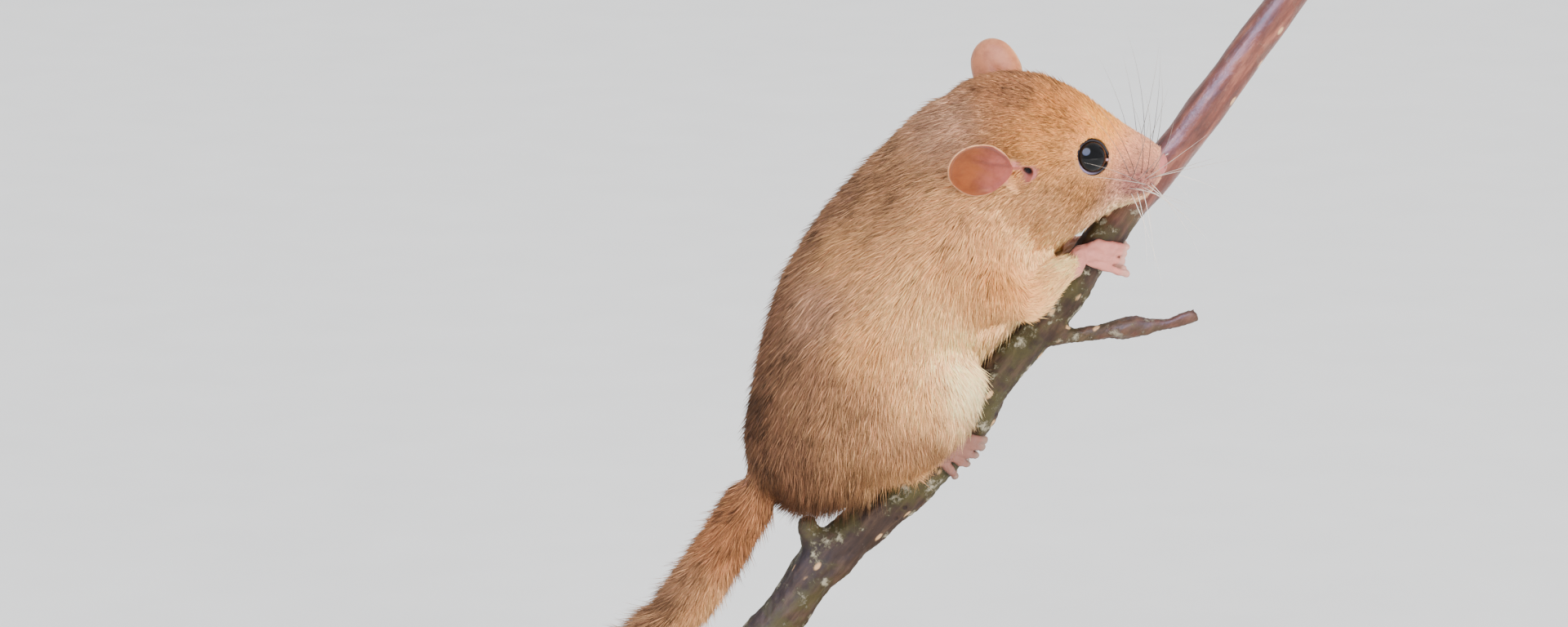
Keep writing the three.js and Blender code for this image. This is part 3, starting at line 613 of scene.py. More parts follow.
def steel_material():
    """Steel brushed round the rod."""
    tones = (0.3, (0.50, 0.50, 0.51)), (0.7, (0.66, 0.66, 0.67))
    finish = dict(rough=(0.2, 0.22), relief=(0.2, 0.03), Metallic=1.0)
    return grained_material("brushed_steel", (1, 1, 14), 1500, 3, tones, **finish)


def floor_material():
    """A pale, matt studio floor."""
    tones = (0.3, (0.78, 0.78, 0.77)), (0.7, (0.81, 0.81, 0.80))
    finish = dict(rough=(0.15, 0.7), Specular_IOR_Level=0.2)
    return grained_material("pale_floor", (1, 1, 1), 60, 4, tones, **finish)


def linked(name, mesh, material):
    """An object at the origin that rides with the body."""
    piece = bpy.data.objects.new(name, mesh)
    bpy.context.scene.collection.objects.link(piece)
    mesh.shade_smooth()
    mesh.materials.clear()
    mesh.materials.append(material)
    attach(piece, "root")
    return piece


def finished(name, shape, material):
    """A bmesh as an object."""
    mesh = bpy.data.meshes.new(name)
    shape.to_mesh(mesh)
    shape.free()
    return linked(name, mesh, material)


def coordinates(mesh):
    """A mesh's vertices in millimetres."""
    flat = np.empty(len(mesh.vertices) * 3, np.float32)
    mesh.vertices.foreach_get("co", flat)
    return flat.reshape(-1, 3).astype(float) / MM


def set_coordinates(mesh, points):
    """Moves a mesh's vertices to points in millimetres."""
    mesh.vertices.foreach_set("co", (points * MM).astype(np.float32).ravel())
    mesh.update()


def normals(mesh):
    """The way out of a mesh at each vertex."""
    flat = np.empty(len(mesh.vertices) * 3, np.float32)
    mesh.vertex_normals.foreach_get("vector", flat)
    return flat.reshape(-1, 3).astype(float)


def edges(mesh):
    """The two vertices of each edge of a mesh."""
    flat = np.empty(len(mesh.edges) * 2, np.int32)
    mesh.edges.foreach_get("vertices", flat)
    return flat.reshape(-1, 2)


def eased(values, pairs, share, rounds):
    """Values at vertices, each round moved by its share towards the mean of its neighbours."""
    values = np.array(values, float)
    flat = values.reshape(len(values), -1)
    first, second = pairs.T
    count = len(flat)
    valence = np.bincount(pairs.ravel(), minlength=count)[:, None]
    share = np.broadcast_to(np.reshape(share, (-1, 1)), (count, 1))
    for _ in range(rounds):
        total = np.column_stack([
            np.bincount(first, column[second], count) + np.bincount(second, column[first], count)
            for column in flat.T
        ])
        flat = flat + share * (total / valence - flat)
    return flat.reshape(values.shape)


def paint(mesh, name, colours):
    """A colour at every vertex, under an attribute's name."""
    attribute = mesh.attributes.new(name, "FLOAT_COLOR", "POINT")
    four = np.ones((len(colours), 4), np.float32)
    four[:, :3] = np.clip(colours, 0, 1)
    attribute.data.foreach_set("color", four.ravel())


def fused(names, inflate, voxel):
    """Copies of CAD nodes, grown a little and fused into one closed mesh of even faces."""
    whole = bmesh.new()
    for name in names:
        one = bmesh.new()
        one.from_mesh(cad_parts[name].data)
        bmesh.ops.remove_doubles(one, verts=one.verts, dist=WELD)
        one.normal_update()
        for vertex in one.verts:
            vertex.co += vertex.normal * inflate * MM
        grown = bpy.data.meshes.new("grown")
        one.to_mesh(grown)
        one.free()
        whole.from_mesh(grown)
        bpy.data.meshes.remove(grown)
    mesh = bpy.data.meshes.new("fused")
    whole.to_mesh(mesh)
    whole.free()
    return remeshed(mesh, voxel * MM)


def remeshed(mesh, voxel):
    """Overlapping shapes as one closed mesh with even faces of the size of a voxel."""
    carrier = bpy.data.objects.new("fused", mesh)
    bpy.context.scene.collection.objects.link(carrier)
    remesh = carrier.modifiers.new("remesh", "REMESH")
    remesh.mode = "VOXEL"
    remesh.voxel_size = voxel
    remesh.use_smooth_shade = True
    evaluated = carrier.evaluated_get(bpy.context.evaluated_depsgraph_get())
    result = bpy.data.meshes.new_from_object(evaluated)
    bpy.data.objects.remove(carrier)
    bpy.data.meshes.remove(mesh)
    return result


def parts_at(points):
    """For each point in millimetres the number in PARTS of the node of flesh that it is nearest to."""
    corners, faces, owner = [], [], []
    for number, part in enumerate(PARTS):
        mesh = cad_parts[part].data
        mesh.calc_loop_triangles()
        start = len(corners)
        corners.extend(vertex.co[:] for vertex in mesh.vertices)
        faces.extend(tuple(start + i for i in triangle.vertices) for triangle in mesh.loop_triangles)
        owner.extend([number] * len(mesh.loop_triangles))
    tree = BVHTree.FromPolygons(corners, faces)
    return np.array([owner[tree.find_nearest(point)[2]] for point in points * MM])


def kind_of(part):
    """A node's name without its side."""
    return part.rsplit("_", 1)[0] if part.endswith(("_right", "_left")) else part


def per_part(parts, column):
    """A column of FLESH for each point."""
    place = FLESH_COLUMNS.index(column)
    return np.array([FLESH[kind_of(part)][place] for part in PARTS], float)[parts]


def belongs(parts, kinds):
    """Which points belong to nodes of some kinds."""
    return np.isin(parts, [number for number, part in enumerate(PARTS) if kind_of(part) in kinds])


def middle(node):
    """The middle of a CAD node in millimetres."""
    low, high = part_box(node)
    return np.array((low + high) / 2) / MM


def skin_fields(points):
    """How far points are from the tip of the nose and from the nearer eye, in millimetres."""
    to_nose = np.linalg.norm(points - turned((36.0, 0.0, 85.2)), axis=1)
    to_eye = np.min([np.linalg.norm(points - middle(f"eye_{side}"), axis=1) for side in SIDES], axis=0)
    return to_nose, to_eye


def to_canal(points):
    """How far points are from the nearer ear canal."""
    axes = [[turned((x, y * sign, z)) for x, y, z in EAR_CANAL] for sign in SIDES.values()]
    return np.min([nearest_on_line(points, axis)[1] for axis in axes], axis=0)


def ear_frame(side):
    """A turned ear's root, length and three ways: along it, across it and out of its hollow."""
    root, tip = (turned(point) for point in EARS[side][:2])
    facing = np.array(HEAD_TURN) @ np.array(EARS[side][2])
    length = np.linalg.norm(tip - root)
    along = (tip - root) / length
    facing = unit(facing - along * (facing @ along))
    return root, length, along, np.cross(along, facing) * SIDES[side], facing


def to_ear_ground(points):
    """How far points are from the bare skin between an ear's canal and its hollow."""
    gaps = []
    for side, sign in SIDES.items():
        root, _, along, _, _ = ear_frame(side)
        outside, inside = (turned((x, y * sign, z)) for x, y, z in EAR_CANAL)
        canal = outside + (inside - outside) * 0.4
        gaps.append(nearest_on_line(points, [canal, root + along * 0.5, root + along * 3.2])[1])
    return np.min(gaps, axis=0)


def muzzle_relief(points):
    """Dents and swellings of nose and mouth, in millimetres outward, how bare they are, and how much
    painted shade lies in the nostrils, along the mouth's line and in the cleft.
    """
    here = one_side(straightened(points))
    pad = np.linalg.norm((here - NOSE_PAD) / [1.0, 1.15, 1.0], axis=1)
    nostril = np.linalg.norm((here - NOSTRIL) / [1.2, 1.0, 0.8], axis=1)
    cleft = nearest_on_line(here, PHILTRUM)[1]
    mouth_share, mouth, _ = nearest_on_line(here, MOUTH)
    whisker_pad = np.linalg.norm(here - WHISKER_PAD, axis=1)
    outward = 0.12 * (1 - smoothstep(0.9, 1.5, pad))
    outward -= 0.50 * np.exp(-((nostril / 0.36) ** 2))
    outward -= 0.10 * np.exp(-(((pad - 1.45) / 0.2) ** 2))
    outward -= 0.16 * np.exp(-((cleft / 0.22) ** 2))
    outward -= 0.34 * np.exp(-((mouth / 0.28) ** 2)) * (1 - 0.5 * mouth_share)
    outward += 0.30 * np.exp(-((whisker_pad / 1.5) ** 2))
    bare = 1 - smoothstep(1.35, 1.75, pad)
    # dark is painted shade in the nostrils, along the mouth's line and in the cleft.
    dark = np.maximum(1.1 * np.exp(-((nostril / 0.40) ** 2)), 0.8 * np.exp(-((mouth / 0.24) ** 2)))
    dark = np.clip(np.maximum(dark, 0.35 * np.exp(-((cleft / 0.2) ** 2))), 0, 1)
    return outward, bare, dark


def skin_tones(points):
    """The skin's colour: the coat's tone in shadow where it is furred, pink where it is bare, and painted
    shade in the nostrils, the mouth's line, the cleft and the ear canals.
    """
    tone = coat_tone(points) * 0.85
    _, bare, dark = muzzle_relief(points)
    canal = to_canal(points)
    ring = 1 - smoothstep(1.3, 1.9, to_ear_ground(points))
    lids = 0.8 * (1 - smoothstep(2.32, 2.52, skin_fields(points)[1]))
    corner = np.zeros(len(points))
    for side, sign in SIDES.items():
        inner = middle(f"eye_{side}") + np.array([2.55, 0.35 * sign, -0.1])
        corner = np.maximum(corner, np.exp(-((np.linalg.norm(points - inner, axis=1) / 0.5) ** 2)))
    # The dark (88, 36, 34) at the nostrils, the mouth and the cleft is painted shade.
    for share, colour in (
        (bare, (176, 104, 98)), (lids, (84, 56, 58)), (corner, (226, 176, 176)),
        # The near-black (12, 5, 4) at the ear canals is painted shade in their holes.
        (ring, (184, 112, 100)), (dark, (88, 36, 34)), (1 - smoothstep(0.50, 0.85, canal), (12, 5, 4)),
    ):
        tone = tone + (linear(colour) - tone) * share[:, None]
    return tone


class DormouseSkinSettings(bpy.types.PropertyGroup):
    voxel: FloatProperty(
        name="Detail", description="Size of the skin's faces", default=0.37 * MM, unit="LENGTH")
    overlap: FloatProperty(
        name="Overlap", description="How far each node grows to fuse", default=0.22 * MM, unit="LENGTH")
    rounds: IntProperty(name="Smoothing", description="Rounds of smoothing", default=29, min=0)
    paw_voxel: FloatProperty(
        name="Paw detail", description="Size of the paws' faces", default=0.15 * MM, unit="LENGTH")


class DormouseEarSettings(bpy.types.PropertyGroup):
    half_width: FloatProperty(
        name="Half width", description="Half of the ear's width", default=3.35 * MM, unit="LENGTH")
    cup: FloatProperty(
        name="Cup", description="Depth of the ear's hollow", default=1.3 * MM, unit="LENGTH")
    thickness: FloatProperty(
        name="Thickness", description="Thickness of the flap", default=0.28 * MM, unit="LENGTH")


class DormouseCoatSettings(bpy.types.PropertyGroup):
    seed: IntProperty(name="Seed", description="Start of the random numbers", default=7)
    fullness: FloatProperty(
        name="Fullness", description="Scale of the number of tufts", default=1.0, min=0.1)
    length: FloatProperty(
        name="Length", description="Scale of the tufts' length", default=1.0, min=0.1)
    clump: FloatProperty(
        name="Clumping", description="Scale of how far tips lean together", default=1.0, min=0, max=2)
    brightness: FloatProperty(
        name="Brightness", description="Scale of the coat's colour", default=1.15, min=0)


class DormouseStageSettings(bpy.types.PropertyGroup):
    distance: FloatProperty(
        name="Camera distance", description="From the camera to the animal",
        default=800 * MM, unit="LENGTH")
    elevation: FloatProperty(
        name="Elevation", description="Camera above the horizon",
        default=math.radians(12), unit="ROTATION")
    frame_width: FloatProperty(
        name="Frame width", description="Width seen at the animal", default=200 * MM, unit="LENGTH")
    target: FloatVectorProperty(
        name="Target", description="Point in the middle of the frame",
        default=(-12.5 * MM, 0, 65.7 * MM), unit="LENGTH")
    world: FloatVectorProperty(
        name="Surroundings", description="Colour of the light from all round",
        default=(0.84, 0.85, 0.88), subtype="COLOR")


def finer(mesh, near):
    """Splits the faces whose corners are all marked, so that small features have enough of them."""
    shape = bmesh.new()
    shape.from_mesh(mesh)
    shape.verts.ensure_lookup_table()
    chosen = [edge for edge in shape.edges if near[edge.verts[0].index] and near[edge.verts[1].index]]
    bmesh.ops.subdivide_edges(shape, edges=chosen, cuts=1, use_grid_fill=True)
    bmesh.ops.triangulate(shape, faces=[face for face in shape.faces if len(face.verts) > 4])
    shape.to_mesh(mesh)
    shape.free()


class SkinOperator(bpy.types.Operator):
    """Makes one skin over head, body, limbs and tail, under the coat"""

    bl_idname = "dormouse.skin"
    bl_label = "Skin"

    def execute(self, context):
        settings = context.scene.dormouse_skin
        overlap = settings.overlap / MM
        mesh = fused(PARTS, overlap, settings.voxel / MM)
        points = coordinates(mesh)
        parts = parts_at(points)
        pairs = edges(mesh)
        to_nose, to_eye = skin_fields(points)
        ease = eased(per_part(parts, "smooth"), pairs, 0.5, 8)
        ease *= 0.25 + 0.75 * smoothstep(2.6, 4.2, to_eye)
        ease *= 0.5 + 0.5 * smoothstep(1.0, 6.0, to_nose)
        points = eased(points, pairs, ease, settings.rounds)
        set_coordinates(mesh, points)
        depth = per_part(parts, "depth")
        depth *= 0.3 + 0.7 * smoothstep(2.0, 12.0, to_nose)
        depth *= 0.35 + 0.65 * smoothstep(2.8, 5.5, to_eye)
        tail_share, _, _ = nearest_on_line(points, TAIL_LINE)
        depth *= 1 - 0.75 * smoothstep(0.93, 1.0, tail_share) * (points[:, 0] < -50)
        depth = eased(depth, pairs, 0.5, 30)
        for _ in range(2):
            points = points - eased(normals(mesh), pairs, 0.5, 3) * (depth + overlap)[:, None] / 2
            set_coordinates(mesh, points)
        set_coordinates(mesh, eased(points, pairs, ease * 0.6, 6))
        self.sculpt(mesh)
        points = coordinates(mesh)
        paint(mesh, "tone", skin_tones(points))
        number = mesh.attributes.new("part", "INT", "POINT")
        number.data.foreach_set("value", parts_at(points).astype(np.int32))
        mesh.name = "skin"
        skin = linked("skin", mesh, skin_material())
        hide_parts(*PARTS)
        return {"FINISHED"}

    @staticmethod
    def sculpt(mesh):
        """Nose, mouth, ear canals and the sockets that hug the eyes."""
        points = coordinates(mesh)
        to_nose, to_eye = skin_fields(points)
        finer(mesh, (to_nose < 6.5) | (to_eye < 3.4) | (to_canal(points) < 2.6))
        finer(mesh, np.linalg.norm(coordinates(mesh) - turned(NOSE_PAD), axis=1) < 2.4)
        points, pairs = coordinates(mesh), edges(mesh)
        to_nose, to_eye = skin_fields(points)
        near = (to_nose < 6.5) | (to_eye < 3.4)
        points = eased(points, pairs, np.where(near, 0.4, 0.0), 2)
        set_coordinates(mesh, points)
        outward = muzzle_relief(points)[0] - 1.2 * np.exp(-((to_canal(points) / 0.55) ** 2))
        points = points + normals(mesh) * outward[:, None]
        for side in SIDES:
            eye = middle(f"eye_{side}")
            low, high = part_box(f"eye_{side}")
            radius = (high.x - low.x) / 2 / MM + 0.04
            away = points - eye
            inside = np.linalg.norm(away, axis=1) < radius
            points[inside] = eye + unit(away[inside]) * radius
        set_coordinates(mesh, points)


class EarsOperator(bpy.types.Operator):
    """Makes the two thin, cupped ears"""

    bl_idname = "dormouse.ears"
    bl_label = "Ears"

    def execute(self, context):
        settings = context.scene.dormouse_ears
        material = ear_material()
        for side in SIDES:
            root, length, along, across, facing = ear_frame(side)
            flap = bmesh.new()
            bmesh.ops.create_grid(flap, x_segments=34, y_segments=34, size=1)
            inner = flap.verts.layers.float_vector.new("place")
            for vertex in flap.verts:
                x, y = vertex.co.x, vertex.co.y
                disc = (x * math.sqrt(1 - y * y / 2), y * math.sqrt(1 - x * x / 2))
                a, b, h = self.shape(*disc, length, settings)
                vertex.co = Vector((root + along * a + across * b + facing * h) * MM)
                vertex[inner] = (a / length, b, 0)
            flap.normal_update()
            flap.faces.ensure_lookup_table()
            if flap.faces[0].normal @ Vector(facing) < 0:
                bmesh.ops.reverse_faces(flap, faces=flap.faces)
            bmesh.ops.solidify(flap, geom=flap.faces[:], thickness=settings.thickness)
            bmesh.ops.smooth_vert(
                flap, verts=flap.verts, factor=0.35, use_axis_x=True, use_axis_y=True, use_axis_z=True)
            flap.normal_update()
            places = np.array([vertex[inner][:] for vertex in flap.verts])
            front = np.array([vertex.normal.dot(Vector(facing)) for vertex in flap.verts])
            ear = finished(f"pinna_{side}", flap, material)
            ear.data.attributes.remove(ear.data.attributes["place"])
            paint(ear.data, "tone", self.tones(places, front))
            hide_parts(f"ear_{side}")
        return {"FINISHED"}

    @staticmethod
    def shape(x, y, length, settings):
        """A point of a unit disc on the flap: along it, across it and out of it, in millimetres."""
        reach = math.hypot(x, y)
        a = length * (EAR_REACH[0] + EAR_REACH[1] * x)
        b = settings.half_width / MM * y * (1.0 + 0.06 * x - 0.22 * max(0.0, -x))
        hollow = settings.cup / MM * (0.25 + 0.75 * smoothstep(-0.9, 0.1, x))
        h = -hollow * max(0.0, 1 - reach**2) ** 0.8 + 0.35 * smoothstep(0.82, 1.0, reach)
        h -= 0.75 * (1 - smoothstep(-1.0, -0.35, x))
        h += 0.5 * smoothstep(0.1, 1.0, y) * (1 - smoothstep(0.0, 0.9, x))
        fold = math.exp(-(((y + 0.25 - 0.3 * x) / 0.16) ** 2)) * (1 - smoothstep(-0.2, 0.45, x))
        return a, b, h + 0.4 * fold * max(0.0, 1 - reach**2) ** 0.5

    @staticmethod
    def tones(places, front):
        """Pink near the root of the hollow, orange towards its edge, and pale on the rim."""
        ragged = 0.05 * np.sin(places[:, 1] * 2.3) + 0.03 * np.sin(places[:, 1] * 6.1 + places[:, 0] * 9)
        outer = smoothstep(0.20, 0.66, places[:, 0] + 0.05 * places[:, 1] + ragged)[:, None]
        pink, orange = linear((136, 70, 58)), linear((120, 62, 26))
        inside = pink + (orange - pink) * outer
        behind = np.broadcast_to(linear((176, 112, 76)), inside.shape)
        tone = np.where(front[:, None] > 0.0, inside, behind)
        rim = np.clip((0.55 - np.abs(front)) / 0.3, 0, 1)[:, None]
        return tone + (linear((226, 172, 124)) - tone) * rim * 0.8


def bead_chain(shape, points, radii):
    """Close-set balls along a line through points, to be fused into one rounded form."""
    for start, end, thick, thin in zip(points, points[1:], radii, radii[1:]):
        gap = np.linalg.norm(end - start)
        steps = max(2, math.ceil(gap / (0.35 * min(thick, thin))))
        for i in range(steps + 1):
            share = i / steps
            place = Matrix.Translation(Vector((start + (end - start) * share) * MM))
            radius = (thick + (thin - thick) * share) * MM
            bmesh.ops.create_icosphere(shape, subdivisions=2, radius=radius, matrix=place)


class PawsOperator(bpy.types.Operator):
    """Makes the bare paws with their fingers and toes"""

    bl_idname = "dormouse.paws"
    bl_label = "Paws"

    def execute(self, context):
        material = skin_material()
        # Each paw's pink is scaled by a factor; the hind feet's much darker, greyer factor is painted
        # shade, as they grip the stem in the shadow under the body.
        hand_shade, foot_painted_shade = (0.62, 0.62, 0.62), (0.27, 0.32, 0.30)
        for side, sign in SIDES.items():
            self.paw(f"forepaw_{side}", sign, HAND_GRIP, WRIST, PALM, FINGERS, 0.50, hand_shade, material)
            self.paw(f"hind_foot_{side}", sign, FOOT_GRIP, ANKLE, SOLE, TOES, 0.52, foot_painted_shade, material)
        return {"FINISHED"}

    @staticmethod
    def paw(node, sign, grip, limb, sole, digits, thick, shade, material):
        """One paw: its limb's end, the palm or sole, and a fan of digits with knuckles and pads."""
        shape = bmesh.new()
        ends = [np.array(point) * [1, sign, 1] for point, _ in limb]
        flat = [besides_stem(grip, -sign, *place) for place, _ in sole]
        bead_chain(shape, ends + flat, [r for _, r in limb] + [r for _, r in sole])
        bead_chain(shape, [ends[-1], flat[-2]], [limb[-1][1] * 0.95, sole[-2][1]])
        for digit in digits:
            joints = [besides_stem(grip, -sign, *place) for place in digit]
            radii = [1.25 * thick, 1.12 * thick, 0.86 * thick, 0.92 * thick]
            bead_chain(shape, [flat[-2], *joints], [1.7 * thick, *radii])
            bead_chain(shape, [joints[1], joints[1] * 0.9 + joints[2] * 0.1], [1.22 * thick] * 2)
            way = unit(joints[3] - joints[2])
            pad = joints[3] - way * 0.15
            bead_chain(shape, [pad, pad + way * 0.1], [1.0 * thick, 0.85 * thick])
        balls = bpy.data.meshes.new("balls")
        shape.to_mesh(balls)
        shape.free()
        mesh = remeshed(balls, bpy.context.scene.dormouse_skin.paw_voxel)
        pairs = edges(mesh)
        points = eased(coordinates(mesh), pairs, 0.5, 6)
        set_coordinates(mesh, points)
        random = np.random.default_rng(5)
        creases = 0.035 * ripples(points, 4, 7, random)
        points = points + eased(normals(mesh), pairs, 0.5, 2) * (creases + 0.04)[:, None]
        set_coordinates(mesh, points)

        pale = smoothstep(0.3, 1.6, stem_clearance(points))[:, None]
        pink, bright = linear((160, 78, 70)), linear((226, 146, 132))
        tips = [besides_stem(grip, -sign, *digit[-1]) for digit in digits]
        to_tip = np.min([np.linalg.norm(points - tip, axis=1) for tip in tips], axis=0)
        tone = pink + (bright - pink) * pale
        tone = tone + (linear((230, 170, 154)) - tone) * (1 - smoothstep(0.6, 1.8, to_tip))[:, None]
        reach = 3.0 if sign < 0 else 6.0
        furred = 1 - smoothstep(0.8, reach, np.linalg.norm(points - ends[0], axis=1))[:, None]
        tone = tone + (coat_tone(points) - tone) * furred * 0.8
        paint(mesh, "tone", tone * shade)
        mesh.name = f"{node}_skin"
        piece = linked(mesh.name, mesh, material)
        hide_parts(node)


def bake_places(points, parts):
    """Each point's place on an unwrap of the skin: a tile for each limb, unrolled round its line."""
    trunk = [name for name in PARTS if name not in TAIL and kind_of(name) not in PAIRED]
    tiles = [(SPINE_LINE, trunk, (0.00, 0.00, 0.56, 1.0)), (TAIL_LINE, TAIL, (0.57, 0.00, 0.15, 1.0))]
    for side, left, sign in (("left", 0.73, 1), ("right", 0.87, -1)):
        arm, leg = (np.array(line) * [1, sign, 1] for line in (ARM_LINE, LEG_LINE))
        tiles.append((arm, (f"upper_arm_{side}", f"forearm_{side}"), (left, 0.00, 0.13, 0.45)))
        tiles.append((leg, (f"thigh_{side}", f"shank_{side}"), (left, 0.46, 0.13, 0.40)))
    places = np.zeros((len(points), 2))
    for line, members, (left, low, width, height) in tiles:
        chosen = np.isin(parts, [PARTS.index(name) for name in members])
        here, line = points[chosen], np.array(line, float)
        share, _, way = nearest_on_line(here, line)
        place = share * (len(line) - 1)
        i = np.minimum(place.astype(int), len(line) - 2)
        away = here - line[i] - (line[i + 1] - line[i]) * (place - i)[:, None]
        side = unit(np.array([0, 1, 0]) - way * way[:, 1:2])
        up = np.cross(side, way)
        around = np.arctan2((away * side).sum(1), (away * up).sum(1)) / (2 * math.pi) + 0.5
        places[chosen] = np.column_stack([left + width * around, low + height * share])
    return places


def coat_roots(mesh, density, total, random):
    """Random roots on a mesh: for each one its triangle's corners and their weights."""
    mesh.calc_loop_triangles()
    flat = np.empty(len(mesh.loop_triangles) * 3, np.int32)
    mesh.loop_triangles.foreach_get("vertices", flat)
    corners = flat.reshape(-1, 3)
    points = coordinates(mesh)[corners]
    area = np.linalg.norm(np.cross(points[:, 1] - points[:, 0], points[:, 2] - points[:, 0]), axis=1) / 2
    wanted = area * density[corners].mean(1)
    count = int(min(wanted.sum(), total))
    chosen = random.choice(len(corners), count, p=wanted / wanted.sum())
    u, v = random.random((2, count))
    flip = u + v > 1
    u[flip], v[flip] = 1 - u[flip], 1 - v[flip]
    return corners[chosen], np.column_stack([1 - u - v, u, v])


def locks(roots, random):
    """For each root the number of the root that leads its lock."""
    leaders = random.choice(len(roots), len(roots) // 12, replace=False)
    tree = KDTree(len(leaders))
    for leader in leaders:
        tree.insert(roots[leader], leader)
    tree.balance()
    return np.array([tree.find(root)[1] for root in roots])


def tuft_mesh(name, tufts, places):
    """Closed tufts. Each has a sunken root, two corners at its waist and a tip."""
    count = len(tufts)
    pattern = np.array([(0, 2, 1), (3, 1, 2), (0, 3, 2), (0, 1, 3)])
    triangles = (pattern[None] + 4 * np.arange(count)[:, None, None]).reshape(-1, 3)
    mesh = bpy.data.meshes.new(name)
    mesh.vertices.add(count * 4)
    mesh.vertices.foreach_set("co", (tufts.reshape(-1, 3) * MM).astype(np.float32).ravel())
    mesh.loops.add(len(triangles) * 3)
    mesh.loops.foreach_set("vertex_index", triangles.ravel().astype(np.int32))
    mesh.polygons.add(len(triangles))
    mesh.polygons.foreach_set("loop_start", np.arange(0, len(triangles) * 3, 3, dtype=np.int32))
    mesh.polygons.foreach_set("loop_total", np.full(len(triangles), 3, np.int32))
    mesh.update(calc_edges=True)
    spot = np.array([(0, -1), (0.8, 0), (-0.8, 0), (0, 1)]) * TUFT_PATCH / 2
    at = places[:, None, :] + spot[None]
    bake = mesh.uv_layers.new(name="OFBake")
    bake.data.foreach_set("uv", at.reshape(-1, 2)[triangles.ravel()].astype(np.float32).ravel())
    return mesh


def tuft_points(root, tip, out, width):
    """The four points of each straight tuft, from where it grows, its tip and the skin's normal."""
    along = tip - root
    across = unit(np.cross(out, along)) * (width / 2)[:, None]
    waist = root + along * 0.4 + out * (width * 0.4)[:, None]
    return np.stack([root - out * 0.15, waist + across, waist - across, tip], axis=1)


def stem_clearance(points):
    """How far points are from the stem's bark, in millimetres."""
    line = np.array(STEM)
    share, distance, _ = nearest_on_line(points, line[:, :3])
    return distance - np.interp(share * (len(line) - 1), np.arange(len(line)), line[:, 3])


